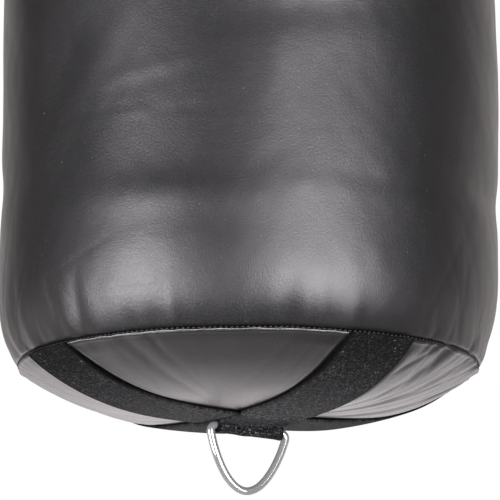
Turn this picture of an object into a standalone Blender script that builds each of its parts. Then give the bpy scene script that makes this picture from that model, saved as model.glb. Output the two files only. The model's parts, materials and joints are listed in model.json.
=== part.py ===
"""Punching bag on four chain legs, with a swivel and a carabiner above and a webbing cross and D-ring below.

Lengths are metres and +Z is up. The origin is where the hook above carries the bag: the inner crown of the
carabiner. The bottom D-ring's bar lies about along X, the outer bottom strap runs along Y.
"""
import math

import bmesh
import bpy
from mathutils import Matrix, Vector

# Clearances
GAP = 0.0003
MERGE = 0.00001

# Bag body
BODY_RADIUS = 0.175
BODY_HEIGHT = 0.950
SHOULDER_HEIGHT = 0.070
SHOULDER_INSET = 0.0134
SHOULDER_POWER = 3.0
SHOULDER_STEPS = (0.0, 0.12, 0.28, 0.52, 1.0)
COVER_WALL = 0.0015
SEAM_ALLOWANCE = 0.014
BOTTOM_DEPTH = 0.035
BOTTOM_POWER = 3.4
BOTTOM_STEPS = (1.0, 0.94, 0.86, 0.76, 0.64, 0.48, 0.28, 0.0)
TOP_RISE = 0.012
TOP_POWER = 10.0
ROUND_STEPS = 40

# Binding tape over the raw edges of each seam
BINDING_WALL = 0.0008
BINDING_LEG = 0.0035

# Filling
JACKET_WALL = 0.018
SACK_WALL = 0.001
TOP_DISC_HEIGHT = 0.026
TOP_DISC_CROWN = 0.0085
CROWN_TAPER = 0.012

# Webbing
WEBBING_WIDTH = 0.051
WEBBING_WALL = 0.0018
STRAP_RAMP = 0.009
STRAP_STANDOFF = 0.0008
LOOP_BEND = 0.003
LOOP_SIDE_GAP = 0.0007

# D-rings
RING_WIRE = 0.0058
RING_INNER_WIDTH = 0.0514
RING_REACH = 0.0437
RING_CORNER = 0.004
RING_BOW_POWER = 1.2
RING_TURN = math.radians(-8.0)
RING_LEAN = math.radians(3.0)

# Hangers
HANGER_PATCH = 0.150
HANGER_RISE = 0.016
HANGER_LEAN = math.radians(37.0)
HANGER_AZIMUTHS = tuple(math.radians(angle) for angle in (45.0, 135.0, 225.0, 315.0))

# Chain legs
LINKS_PER_LEG = 4
LINK_WIRE = 0.006
LINK_PITCH = 0.042
LINK_INNER_WIDTH = 0.012
LINK_SIDE_GAP = 0.001
HOOK_WIRE = 0.005
HOOK_BEND_RADIUS = 0.0085
HOOK_BEND_OFFSET = 0.013
HOOK_CLOSING = math.radians(62.0)

# Master ring and swivel
MASTER_WIRE = 0.007
MASTER_RADIUS = 0.032
EYE_WIRE = 0.008
EYE_RADIUS = 0.012
EYE_RUNNING_GAP = 0.0023
BARREL_RADIUS = 0.012
BARREL_HEIGHT = 0.026
BARREL_ROOF = 0.005
BARREL_CAVITY_RADIUS = 0.009
BARREL_CHAMFER = 0.0012
STUD_RADIUS = 0.004
COLLAR_RADIUS = 0.0075
COLLAR_HEIGHT = 0.005
WASHER_HEIGHT = 0.0028
WASHER_RADIUS = 0.0085
PLUG_HEIGHT = 0.009
NECK_HEIGHT = 0.001

# Carabiner
CARABINER_WIRE = 0.008
CARABINER_HALF_WIDTH = 0.016
CARABINER_LENGTH = 0.070
GATE_RADIUS = 0.0034
GATE_PIN_RADIUS = 0.0012
GATE_PIN_ABOVE_BEND = 0.003
GATE_NOSE_DROP = 0.004
GATE_NOSE_GAP = 0.0006
GATE_END_BELOW_PIN = 0.0036
TONGUE_WALL = 0.0032
TONGUE_RISE = 0.0034

# Zip
ZIP_HALF_LENGTH = 0.100
ZIP_SLIT_HALF_WIDTH = 0.0045
ZIP_SLIT_MARGIN = 0.004
TAPE_MARGIN = 0.008
TAPE_WIDTH = 0.015
TAPE_WALL = 0.001
TEETH_WIDTH = 0.0026
TEETH_HEIGHT = 0.0025
TEETH_APART = 0.0016
SLIDER_LENGTH = 0.014
SLIDER_WALL = 0.0015
SLIDER_NECK = 0.001
SLIDER_BRIDGE_RISE = 0.003
SLIDER_BRIDGE_WALL = 0.0012
SLIDER_BRIDGE_WIDTH = 0.0024
PULL_LENGTH = 0.030
PULL_WIDTH = 0.009
PULL_WALL = 0.0016
PULL_WINDOW = 0.0065
PULL_WINDOW_WIDTH = 0.004
STOP_LENGTH = 0.003

# Sizes that follow from those above
SEAM_RADIUS = BODY_RADIUS - SHOULDER_INSET
FLANGE_RADIUS = SEAM_RADIUS - SEAM_ALLOWANCE
BINDING_REACH = GAP / 2 + COVER_WALL + GAP + BINDING_WALL
INNER_RADIUS = FLANGE_RADIUS - GAP - BINDING_WALL
JACKET_BORE = BODY_RADIUS - COVER_WALL - GAP - JACKET_WALL
LOOP_WIDTH = RING_INNER_WIDTH - 2 * LOOP_SIDE_GAP
RING_HALF_WIDTH = RING_INNER_WIDTH / 2 + RING_WIRE / 2
LINK_LENGTH = LINK_PITCH + LINK_WIRE
LINK_RADIUS = LINK_INNER_WIDTH / 2 + LINK_WIRE / 2
LINK_STEP = LINK_LENGTH - LINK_WIRE - GAP
HOOK_LENGTH = 2 * (HOOK_BEND_OFFSET + HOOK_BEND_RADIUS)
LINK_TO_HOOK = LINK_WIRE / 2 + HOOK_WIRE / 2 + GAP
HOOK_TO_RING = HOOK_WIRE / 2 + RING_WIRE / 2 + GAP
CROWN_RADIUS = MASTER_RADIUS - MASTER_WIRE / 2 - LINK_WIRE / 2 - GAP
LINK_TO_MASTER = LINK_WIRE / 2 + MASTER_WIRE / 2 + GAP
LINKS_REACH = LINK_LENGTH + (LINKS_PER_LEG - 1) * LINK_STEP
LEG_REACH = LINKS_REACH + HOOK_LENGTH - LINK_TO_MASTER - LINK_TO_HOOK - HOOK_TO_RING

# Heights from the top down
CARABINER_TOP = CARABINER_WIRE / 2
CARABINER_FOOT = CARABINER_TOP - CARABINER_LENGTH
UPPER_BEND = CARABINER_TOP - CARABINER_HALF_WIDTH
LOWER_BEND = CARABINER_FOOT + CARABINER_HALF_WIDTH
GATE_PIN_HEIGHT = LOWER_BEND + GATE_PIN_ABOVE_BEND
GATE_TOP = UPPER_BEND - GATE_NOSE_DROP - GATE_NOSE_GAP
UPPER_EYE = CARABINER_FOOT + CARABINER_WIRE / 2 + EYE_WIRE / 2 + GAP - EYE_RADIUS
BARREL_TOP = UPPER_EYE - EYE_RADIUS - EYE_WIRE / 2 - EYE_RUNNING_GAP
BARREL_FOOT = BARREL_TOP - BARREL_HEIGHT
LOWER_EYE = BARREL_FOOT - NECK_HEIGHT - EYE_WIRE / 2 - EYE_RADIUS
LOWER_EYE_FOOT = LOWER_EYE - EYE_RADIUS
MASTER_CENTRE = LOWER_EYE_FOOT + EYE_WIRE / 2 + MASTER_WIRE / 2 + GAP - MASTER_RADIUS

PARTS = "punching_bag"
CUTTERS = "punching_bag_cutters"


def clear_scene():
    """Remove whatever the scene holds."""
    for item in list(bpy.data.objects):
        bpy.data.objects.remove(item, do_unlink=True)


def collection(name):
    """Give the named collection of the scene, made when it is missing."""
    found = bpy.data.collections.get(name)
    if found is None:
        found = bpy.data.collections.new(name)
        bpy.context.scene.collection.children.link(found)
    return found


def finish(name, colour, roughness, metallic=0.0):
    """Give the material of that name: a Principled BSDF with one colour."""
    material = bpy.data.materials.get(name)
    if material is None:
        material = bpy.data.materials.new(name)
        material.use_nodes = True
        shader = material.node_tree.nodes["Principled BSDF"]
        shader.inputs["Base Color"].default_value = (*colour, 1.0)
        shader.inputs["Roughness"].default_value = roughness
        shader.inputs["Metallic"].default_value = metallic
    return material


def leather():
    return finish("black_synthetic_leather", (0.045, 0.044, 0.045), 0.42)


def webbing():
    return finish("black_webbing", (0.018, 0.018, 0.019), 0.85)


def bright_steel():
    return finish("bright_plated_steel", (0.78, 0.78, 0.79), 0.14, 1.0)


def zinc_steel():
    return finish("zinc_plated_steel", (0.62, 0.62, 0.63), 0.3, 1.0)


def zip_brass():
    return finish("dark_zip_metal", (0.30, 0.27, 0.22), 0.35, 1.0)


def foam():
    return finish("grey_foam", (0.30, 0.31, 0.33), 0.95)


def sack_cloth():
    return finish("sack_cloth", (0.55, 0.52, 0.46), 0.9)


def textile():
    return finish("textile_shreds", (0.34, 0.36, 0.40), 0.95)


def place(name, data, material, matrix=None):
    """Add one named object of the bag, with its material."""
    item = bpy.data.objects.new(name, data)
    if matrix is not None:
        item.matrix_world = matrix
    if not data.materials:
        data.materials.append(material)
    collection(PARTS).objects.link(item)
    return item


def shade(mesh):
    """Shade a mesh smooth, apart from its edges over 35 degrees."""
    mesh.shade_smooth()
    mesh.set_sharp_from_angle(angle=math.radians(35.0))


def hide_cutter(item):
    """Keep a cutter out of the render and show it as wires."""
    for owner in list(item.users_collection):
        owner.objects.unlink(item)
    collection(CUTTERS).objects.link(item)
    item.hide_render = True
    item.display_type = "WIRE"


def combine(item, other, operation):
    """Cut the other object from this one, or join it on."""
    hide_cutter(other)
    modifier = item.modifiers.new(operation.lower(), "BOOLEAN")
    modifier.object = other
    modifier.operation = operation
    modifier.solver = "EXACT"


def box_mesh(name, low, high):
    """A box between two corners."""
    shell = bmesh.new()
    size = Vector(high) - Vector(low)
    middle = (Vector(high) + Vector(low)) / 2
    matrix = Matrix.Translation(middle) @ Matrix.Diagonal((*size, 1.0))
    bmesh.ops.create_cube(shell, size=1.0, matrix=matrix)
    mesh = bpy.data.meshes.new(name)
    shell.to_mesh(mesh)
    shell.free()
    return mesh


def rod_mesh(name, radius, start, end, sides=16):
    """A round rod from one point to another."""
    start, end = Vector(start), Vector(end)
    turn = (end - start).to_track_quat("Z", "Y").to_matrix().to_4x4()
    shell = bmesh.new()
    bmesh.ops.create_cone(shell, cap_ends=True, segments=sides, radius1=radius, radius2=radius,
                          depth=(end - start).length, matrix=Matrix.Translation((start + end) / 2) @ turn)
    mesh = bpy.data.meshes.new(name)
    shell.to_mesh(mesh)
    shell.free()
    return mesh


def torus(name, radius, wire, centre, rotation, material, around=24):
    """A closed ring of round wire."""
    bpy.ops.mesh.primitive_torus_add(major_segments=around, minor_segments=8, major_radius=radius,
                                     minor_radius=wire / 2, location=centre, rotation=rotation)
    item = bpy.context.object
    item.name = name
    item.data.materials.append(material)
    shade(item.data)
    for owner in list(item.users_collection):
        owner.objects.unlink(item)
    collection(PARTS).objects.link(item)
    return item


def turned(name, profile, material, height=0.0, steps=ROUND_STEPS, wall=0.0):
    """Turn a profile of (radius, height) points about Z, from the top down its outer side.

    A wall makes the turned surface a shell, whose thickness goes inwards.
    """
    mesh = bpy.data.meshes.new(name)
    points = [(radius, 0.0, level) for radius, level in profile]
    edges = [(index, index + 1) for index in range(len(points) - 1)]
    if wall == 0.0 and profile[0][0] > 0.0:
        edges.append((len(points) - 1, 0))
    mesh.from_pydata(points, edges, [])
    item = place(name, mesh, material, Matrix.Translation((0.0, 0.0, height)))
    screw = item.modifiers.new("turn", "SCREW")
    screw.steps = steps
    screw.render_steps = steps
    screw.use_merge_vertices = True
    screw.merge_threshold = MERGE
    weld = item.modifiers.new("weld", "WELD")
    weld.merge_threshold = MERGE
    if wall:
        shell = item.modifiers.new("wall", "SOLIDIFY")
        shell.thickness = wall
        shell.offset = -1.0
        shell.use_even_offset = True
    return item


def wire_curve(name, points, diameter, closed, resolution=1):
    """A round wire along points: 6 sides at resolution 1, 8 sides at resolution 2."""
    curve = bpy.data.curves.new(name, "CURVE")
    curve.dimensions = "3D"
    curve.bevel_depth = diameter / 2
    curve.bevel_resolution = resolution
    curve.use_fill_caps = True
    spline = curve.splines.new("POLY")
    spline.points.add(len(points) - 1)
    for slot, point in zip(spline.points, points):
        slot.co = (*point, 1.0)
    spline.use_cyclic_u = closed
    spline.use_smooth = True
    return curve


def curve_to_mesh(item):
    """Replace a curve object by the mesh that it shows, with its caps welded on."""
    graph = bpy.context.evaluated_depsgraph_get()
    mesh = bpy.data.meshes.new_from_object(item.evaluated_get(graph))
    shell = bmesh.new()
    shell.from_mesh(mesh)
    bmesh.ops.remove_doubles(shell, verts=shell.verts, dist=MERGE)
    shell.to_mesh(mesh)
    shell.free()
    name, matrix = item.name, item.matrix_world.copy()
    bpy.data.objects.remove(item, do_unlink=True)
    made = bpy.data.objects.new(name, mesh)
    made.matrix_world = matrix
    collection(PARTS).objects.link(made)
    return made


def plate_curve(name, outlines, thickness):
    """A flat plate of closed outlines, the later ones being holes."""
    curve = bpy.data.curves.new(name, "CURVE")
    curve.dimensions = "2D"
    curve.fill_mode = "BOTH"
    curve.extrude = thickness / 2
    for outline in outlines:
        spline = curve.splines.new("POLY")
        spline.points.add(len(outline) - 1)
        for slot, (across, along) in zip(spline.points, outline):
            slot.co = (across, along, 0.0, 1.0)
        spline.use_cyclic_u = True
    return curve


def sheet_mesh(name, rows):
    """A sheet through rows of points."""
    count = len(rows[0])
    points = [point for row in rows for point in row]
    faces = []
    for upper in range(len(rows) - 1):
        for left in range(count - 1):
            corner = upper * count + left
            faces.append((corner, corner + count, corner + count + 1, corner + 1))
    mesh = bpy.data.meshes.new(name)
    mesh.from_pydata(points, [], faces)
    return mesh


def frame_matrix(origin, side, along, normal):
    """The placement whose X, Y and Z lie along three directions."""
    matrix = Matrix((side, along, normal)).transposed().to_4x4()
    matrix.translation = origin
    return matrix


def arc(centre, radius, start, end, count):
    """Points of a round arc in a plane, both ends included."""
    angles = [start + (end - start) * index / count for index in range(count + 1)]
    return [(centre[0] + radius * math.cos(angle), centre[1] + radius * math.sin(angle)) for angle in angles]


def offset_line(points, distance):
    """Shift an open line of points sideways, to the left of its direction, with mitred corners."""
    shifted = []
    for index, point in enumerate(points):
        here = Vector(point)
        before = Vector(points[max(index - 1, 0)])
        after = Vector(points[min(index + 1, len(points) - 1)])
        first = (here - before) if index else (after - here)
        second = (after - here) if index < len(points) - 1 else first
        left_one = Vector((-first.y, first.x)).normalized()
        left_two = Vector((-second.y, second.x)).normalized()
        middle = (left_one + left_two).normalized()
        shifted.append(tuple(here + middle * distance / middle.dot(left_one)))
    return shifted


def body_radius(level):
    """Outer radius of the cover at a height over the bottom seam: drawn in towards both seams."""
    near = min(level, BODY_HEIGHT - level)
    share = max(0.0, 1.0 - near / SHOULDER_HEIGHT)
    return BODY_RADIUS - SHOULDER_INSET * share ** SHOULDER_POWER


def side_line():
    """Outer side of the cover from the top seam to the bottom seam, as (radius, height over the bottom seam)."""
    low = [SHOULDER_HEIGHT * step for step in SHOULDER_STEPS]
    levels = [BODY_HEIGHT - level for level in low] + low[::-1]
    return [(body_radius(level), level) for level in levels]


def bottom_line():
    """Outer face of the bottom panel from its seam to its middle, as (radius, height over the bottom seam)."""
    return [(SEAM_RADIUS * share, bottom_level(SEAM_RADIUS * share)) for share in BOTTOM_STEPS]


def trim(points, axis, start, end):
    """Cut a line of points that falls steadily along an axis down to the stretch from start to end."""
    kept = []
    for first, second in zip(points, points[1:]):
        fall = first[axis] - second[axis]
        for value in (start, end):
            if second[axis] < value < first[axis]:
                share = (first[axis] - value) / fall
                kept.append(tuple(Vector(first).lerp(Vector(second), share)))
        if end < second[axis] < start:
            kept.append(second)
    if end <= points[0][axis] <= start:
        kept.insert(0, points[0])
    return kept


def bottom_level(radius):
    """Height of the bottom panel's outer face at a radius, under its seam."""
    return -BOTTOM_DEPTH * (1.0 - (radius / SEAM_RADIUS) ** BOTTOM_POWER)


def top_level(radius):
    """Height of the top panel's outer face at a radius, over its seam."""
    return TOP_RISE * (1.0 - (radius / SEAM_RADIUS) ** TOP_POWER)


def bottom_normal(x, y):
    """Direction square to the bottom panel at a point, out of the bag."""
    radius = math.hypot(x, y)
    slope = BOTTOM_DEPTH * BOTTOM_POWER * (radius / SEAM_RADIUS) ** (BOTTOM_POWER - 1.0) / SEAM_RADIUS
    across = slope / max(radius, MERGE)
    return Vector((across * x, across * y, -1.0)).normalized()


def on_bottom(x, y, lift):
    """A point that stands off the bottom panel by lift, from the bottom seam's plane."""
    radius = min(math.hypot(x, y), SEAM_RADIUS)
    return Vector((x, y, bottom_level(radius))) + bottom_normal(x, y) * lift


def smooth_step(value):
    """Go from 0 to 1 with no corner at either end."""
    value = min(max(value, 0.0), 1.0)
    return value * value * (3.0 - 2.0 * value)


def bar_in_bag():
    """Radius of a hanger's bar and its height over the top seam."""
    along = Vector((-math.sin(HANGER_LEAN), math.cos(HANGER_LEAN)))
    outward = Vector((math.cos(HANGER_LEAN), math.sin(HANGER_LEAN)))
    middle = GAP + WEBBING_WALL + GAP / 2
    return Vector((SEAM_RADIUS, 0.0)) + along * HANGER_RISE + outward * middle


def hang_point(angle):
    """Where a leg hangs on the master ring's wire, from the ring's centre."""
    return Vector((math.sin(angle), 0.0, -math.cos(angle))) * MASTER_RADIUS


def ring_pull(point, bar, azimuth):
    """Direction of a D-ring, square to its bar, from the bar towards the point where its leg hangs."""
    tangent = Vector((-math.sin(azimuth), math.cos(azimuth), 0.0))
    pull = point - bar
    return (pull - tangent * pull.dot(tangent)).normalized()


def natural_angle(bar, azimuth):
    """Angle in the master ring at which a taut leg comes to lie."""
    angle = 0.0
    for _ in range(40):
        point = hang_point(angle)
        leg = bar + ring_pull(point, bar, azimuth) * RING_REACH - point
        angle = math.atan2(leg.x, -leg.z)
    return angle


def bar_drop():
    """How far the hangers' bars lie under the master ring's centre, with all legs taut."""
    azimuth = HANGER_AZIMUTHS[0]
    radius = bar_in_bag().x
    low, high = 0.0, 2.0 * LEG_REACH
    for _ in range(50):
        drop = (low + high) / 2
        bar = Vector((radius * math.cos(azimuth), radius * math.sin(azimuth), -drop))
        point = hang_point(natural_angle(bar, azimuth))
        reach = (bar + ring_pull(point, bar, azimuth) * RING_REACH - point).length
        if reach < LEG_REACH:
            low = drop
        else:
            high = drop
    return (low + high) / 2


BAR_HEIGHT = MASTER_CENTRE - bar_drop()
TOP_SEAM = BAR_HEIGHT - bar_in_bag().y
BOTTOM_SEAM = TOP_SEAM - BODY_HEIGHT
RING_BAR_DEPTH = (BOTTOM_DEPTH + STRAP_STANDOFF + WEBBING_WALL + GAP + RING_WIRE / 2
                  + (RING_HALF_WIDTH + RING_WIRE / 2) * math.sin(RING_LEAN))


def ring_points():
    """Centre line of a D-ring: bar along X at the origin, bow towards -Y.

    The bow is (x / half width)^2 + (depth / bow depth)^power = 1 under two rounded corners.
    """
    half = RING_HALF_WIDTH
    depth = RING_REACH - RING_CORNER
    right = arc((half - RING_CORNER, -RING_CORNER), RING_CORNER, math.pi / 2, 0.0, 3)
    bow_steps = 7
    for step in range(1, bow_steps):
        angle = math.pi / 2 * step / bow_steps
        right.append((half * math.cos(angle), -RING_CORNER - depth * math.sin(angle) ** (2 / RING_BOW_POWER)))
    left = [(-x, y) for x, y in reversed(right)]
    return [(x, y, 0.0) for x, y in right + [(0.0, -RING_REACH)] + left]


def link_points():
    """Centre line of a chain link, long in Y."""
    half = LINK_LENGTH / 2 - LINK_RADIUS
    ends = arc((0.0, half), LINK_RADIUS, 0.0, math.pi, 6) + arc((0.0, -half), LINK_RADIUS, math.pi, 2 * math.pi, 6)
    return [(x, y, 0.0) for x, y in ends]


def hook_points():
    """Centre line of a closed S-hook, long in Y: two bends joined by the line that touches both."""
    slant = math.asin(HOOK_BEND_RADIUS / HOOK_BEND_OFFSET)
    upper = arc((0.0, HOOK_BEND_OFFSET), HOOK_BEND_RADIUS, -HOOK_CLOSING, math.pi + slant, 9)
    lower = [(-x, -y) for x, y in reversed(upper)]
    return [(x, y, 0.0) for x, y in upper + lower]


def make_cover():
    """Cover tube with its seam allowances turned in, and the two panels."""
    edge = GAP / 2
    side = trim(side_line(), 1, BODY_HEIGHT - edge, edge)
    profile = [(FLANGE_RADIUS, BODY_HEIGHT - edge)] + side + [(FLANGE_RADIUS, edge)]
    turned("body_cover", profile, leather(), BOTTOM_SEAM, wall=COVER_WALL)

    dome = [(radius, level - edge) for radius, level in bottom_line()]
    turned("bottom_panel", [(FLANGE_RADIUS, -edge)] + dome, leather(), BOTTOM_SEAM, wall=COVER_WALL)

    shares = (0.5, 0.72, 0.84, 0.93)
    crown = [(SEAM_RADIUS * share, top_level(SEAM_RADIUS * share) + edge) for share in shares]
    profile = [(0.0, TOP_RISE + edge)] + crown + [(SEAM_RADIUS, edge), (FLANGE_RADIUS, edge)]
    panel = turned("top_panel", profile, leather(), TOP_SEAM, wall=COVER_WALL)
    half = ZIP_HALF_LENGTH + ZIP_SLIT_MARGIN
    slit = place("zip_slit", box_mesh("zip_slit", (-half, -ZIP_SLIT_HALF_WIDTH, TOP_SEAM),
                                      (half, ZIP_SLIT_HALF_WIDTH, TOP_SEAM + 2 * TOP_RISE)), leather())
    combine(panel, slit, "DIFFERENCE")


def make_binding(name, height):
    """U-shaped tape over the raw edges of a seam, inside the bag."""
    middle = BINDING_REACH - BINDING_WALL / 2
    inner = INNER_RADIUS + BINDING_WALL / 2
    outer = FLANGE_RADIUS + BINDING_LEG
    line = [(outer, middle), (inner, middle), (inner, -middle), (outer, -middle)]
    near = offset_line(line, -BINDING_WALL / 2)
    far = offset_line(line, BINDING_WALL / 2)
    turned(name, near[::-1] + far, webbing(), height)


def make_filling():
    """Foam jacket, base and top discs, sack and textile filling, from the bottom seam's plane up."""
    floor = BINDING_REACH + GAP
    rim = BODY_HEIGHT - floor
    inset = COVER_WALL + GAP
    outer = trim(offset_line(side_line(), -inset), 1, rim, floor)
    turned("foam_jacket", outer + [(JACKET_BORE, floor), (JACKET_BORE, rim)], foam(), BOTTOM_SEAM)

    disc_radius = INNER_RADIUS - GAP
    bowl = trim(offset_line(bottom_line(), -inset), 0, disc_radius, MERGE)
    bowl[-1] = (0.0, bowl[-1][1])
    turned("foam_base_disc", [(0.0, floor), (disc_radius, floor)] + bowl, foam(), BOTTOM_SEAM)

    sack_foot = floor + GAP
    sack_radius = JACKET_BORE - GAP
    disc_foot = rim - TOP_DISC_HEIGHT
    sack = [(sack_radius, disc_foot - GAP), (sack_radius, sack_foot), (0.0, sack_foot)]
    turned("inner_sack", sack, sack_cloth(), BOTTOM_SEAM, wall=SACK_WALL)

    fill_radius = sack_radius - SACK_WALL - GAP
    fill_foot = sack_foot + SACK_WALL + GAP
    fill = [(0.0, disc_foot - GAP), (fill_radius, disc_foot - GAP), (fill_radius, fill_foot), (0.0, fill_foot)]
    turned("textile_filling", fill, textile(), BOTTOM_SEAM)

    crown = BODY_HEIGHT + TOP_RISE - TOP_DISC_CROWN
    disc = [(0.0, crown), (disc_radius - CROWN_TAPER, crown), (disc_radius, rim), (sack_radius, rim)]
    turned("foam_top_disc", disc + [(sack_radius, disc_foot), (0.0, disc_foot)], foam(), BOTTOM_SEAM)


def strap_shares(count):
    """Even places across a strap, from -1 to 1."""
    return [2.0 * index / count - 1.0 for index in range(count + 1)]


def thicken(item):
    """Give a sheet of webbing its thickness, out of the bag."""
    wall = item.modifiers.new("wall", "SOLIDIFY")
    wall.thickness = WEBBING_WALL
    wall.offset = 1.0
    wall.use_even_offset = True


def make_inner_strap():
    """Bottom strap along X, flat on the bottom panel from seam to seam."""
    places = (-1.0, -0.93, -0.85, -0.75, -0.62, -0.45, -0.22)
    stations = list(places) + [0.0] + [-share for share in reversed(places)]
    rows = []
    for station in stations:
        row = []
        for share in strap_shares(4):
            y = share * WEBBING_WIDTH / 2
            x = station * math.sqrt(SEAM_RADIUS ** 2 - y ** 2)
            row.append(on_bottom(x, -y, STRAP_STANDOFF) + Vector((0.0, 0.0, BOTTOM_SEAM)))
        rows.append(row)
    thicken(place("bottom_strap_inner", sheet_mesh("bottom_strap_inner", rows), webbing()))


def loop_frame(weight):
    """Placement of the bottom ring, turned and leaned by a share of what it has."""
    turn = Matrix.Rotation(RING_TURN * weight, 4, "Z")
    lean = Matrix.Rotation(RING_LEAN * weight, 4, "Y")
    return Matrix.Translation((0.0, 0.0, BOTTOM_SEAM - RING_BAR_DEPTH)) @ turn @ lean


def make_outer_strap():
    """Bottom strap along Y, over the inner strap, folded round the bar of the ring in the middle."""
    low = STRAP_STANDOFF
    high = low + WEBBING_WALL + GAP
    arm_top = RING_BAR_DEPTH - BOTTOM_DEPTH - high
    hold = RING_WIRE / 2 + GAP
    turn_in = hold + LOOP_BEND
    arm_rows = []
    flat_until = WEBBING_WIDTH / 2
    ramp_until = flat_until + STRAP_RAMP
    rest = SEAM_RADIUS - ramp_until
    reaches = [ramp_until + rest * part for part in (1.0, 0.9, 0.78, 0.62, 0.42, 0.2, 0.0)]
    reaches += [flat_until + STRAP_RAMP / 2, flat_until, (flat_until + turn_in) / 2]
    for reach in reaches:
        row = []
        for share in strap_shares(4):
            x = share * WEBBING_WIDTH / 2
            edge = math.sqrt(SEAM_RADIUS ** 2 - x ** 2)
            y = ramp_until + (edge - ramp_until) * max(0.0, (reach - ramp_until) / rest)
            y = y if reach > ramp_until else reach
            lift = high + (low - high) * smooth_step((reach - flat_until) / STRAP_RAMP)
            row.append(on_bottom(x, -y, lift) + Vector((0.0, 0.0, BOTTOM_SEAM)))
        arm_rows.append(row)

    bend = arc((-turn_in, arm_top - LOOP_BEND), LOOP_BEND, math.pi / 2, 0.0, 3)
    under = arc((0.0, 0.0), hold, math.pi, 1.5 * math.pi, 3)
    line = bend + under
    half_rows = []
    for index, (along, level) in enumerate(line):
        weight = math.sin(math.pi / 2 * min(index / (len(bend) - 1), 1.0)) ** 2
        width = WEBBING_WIDTH + (LOOP_WIDTH - WEBBING_WIDTH) * weight
        matrix = loop_frame(weight)
        row = [matrix @ Vector((share * width / 2, along, level)) for share in strap_shares(4)]
        mirrored = [matrix @ Vector((share * width / 2, -along, level)) for share in strap_shares(4)]
        half_rows.append((row, mirrored))
    first = [row for row, _ in half_rows]
    second = [mirrored for _, mirrored in half_rows[:-1]][::-1]
    far_arm = [[Vector((point.x, -point.y, point.z)) for point in row] for row in reversed(arm_rows)]
    rows = arm_rows + first + second + far_arm
    thicken(place("bottom_strap_outer", sheet_mesh("bottom_strap_outer", rows), webbing()))


def make_bottom_ring():
    """The D-ring under the bag, with its origin on its bar."""
    curve = wire_curve("bottom_d_ring", ring_points(), RING_WIRE, True, 2)
    upright = Matrix.Rotation(math.pi / 2, 4, "X")
    place("bottom_d_ring", curve, bright_steel(), loop_frame(1.0) @ upright)


def hanger_outline():
    """Outline of a hanger in (radius, height over the top seam): a strip folded round the bar."""
    along = Vector((-math.sin(HANGER_LEAN), math.cos(HANGER_LEAN)))
    outward = Vector((math.cos(HANGER_LEAN), math.sin(HANGER_LEAN)))
    bar = bar_in_bag()
    levels = [HANGER_PATCH] + [SHOULDER_HEIGHT * step for step in reversed(SHOULDER_STEPS)]
    side = [(body_radius(level), -level) for level in levels]
    side.append(tuple(Vector(side[-1]) + along * HANGER_RISE / 3))
    near = offset_line(side, -(GAP + WEBBING_WALL / 2))
    far = offset_line(side, -(GAP + WEBBING_WALL + GAP + WEBBING_WALL / 2))
    radius = RING_WIRE / 2 + GAP + WEBBING_WALL / 2
    opening = math.radians(145.0)
    eye = [tuple(bar + along * a + outward * b) for a, b in arc((0.0, 0.0), radius, -opening, opening, 9)]
    line = near + eye + far[::-1]
    return offset_line(line, WEBBING_WALL / 2) + offset_line(line, -WEBBING_WALL / 2)[::-1]


def make_hangers():
    """Four hanger straps with a D-ring each."""
    outline = hanger_outline()
    hanger = plate_curve("hanger_strap", [outline], LOOP_WIDTH)
    ring = wire_curve("top_d_ring", ring_points(), RING_WIRE, True)
    up = Vector((0.0, 0.0, 1.0))
    for number, azimuth in enumerate(HANGER_AZIMUTHS, 1):
        radial = Vector((math.cos(azimuth), math.sin(azimuth), 0.0))
        matrix = frame_matrix(Vector((0.0, 0.0, TOP_SEAM)), radial, up, radial.cross(up))
        place(f"hanger_strap_{number}", hanger, webbing(), matrix)
        bar, point, _ = leg_ends(azimuth)
        pull = ring_pull(point, bar, azimuth)
        tangent = Vector((-math.sin(azimuth), math.cos(azimuth), 0.0))
        place(f"top_d_ring_{number}", ring, bright_steel(), frame_matrix(bar, tangent, -pull, pull.cross(tangent)))


def leg_ends(azimuth):
    """Bar centre, point on the master ring and bow crown of the leg at an azimuth."""
    radius = bar_in_bag().x
    bar = Vector((radius * math.cos(azimuth), radius * math.sin(azimuth), BAR_HEIGHT))
    centre = Vector((0.0, 0.0, MASTER_CENTRE))
    spread = (LINK_WIRE + LINK_SIDE_GAP) / CROWN_RADIUS
    mirror = 1.0 if math.cos(azimuth) > 0.0 else -1.0
    outer = 1.0 if math.cos(azimuth) * math.sin(azimuth) > 0.0 else -1.0
    first = Vector((abs(bar.x), abs(bar.y), bar.z - MASTER_CENTRE))
    angle = natural_angle(first, math.atan2(first.y, first.x)) + outer * spread / 2
    point = centre + hang_point(angle * mirror)
    end = bar + ring_pull(point, bar, azimuth) * RING_REACH
    return bar, point, end


def square_to(vector, direction):
    """The part of a vector square to a direction, at length 1."""
    return (vector - direction * vector.dot(direction)).normalized()


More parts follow.
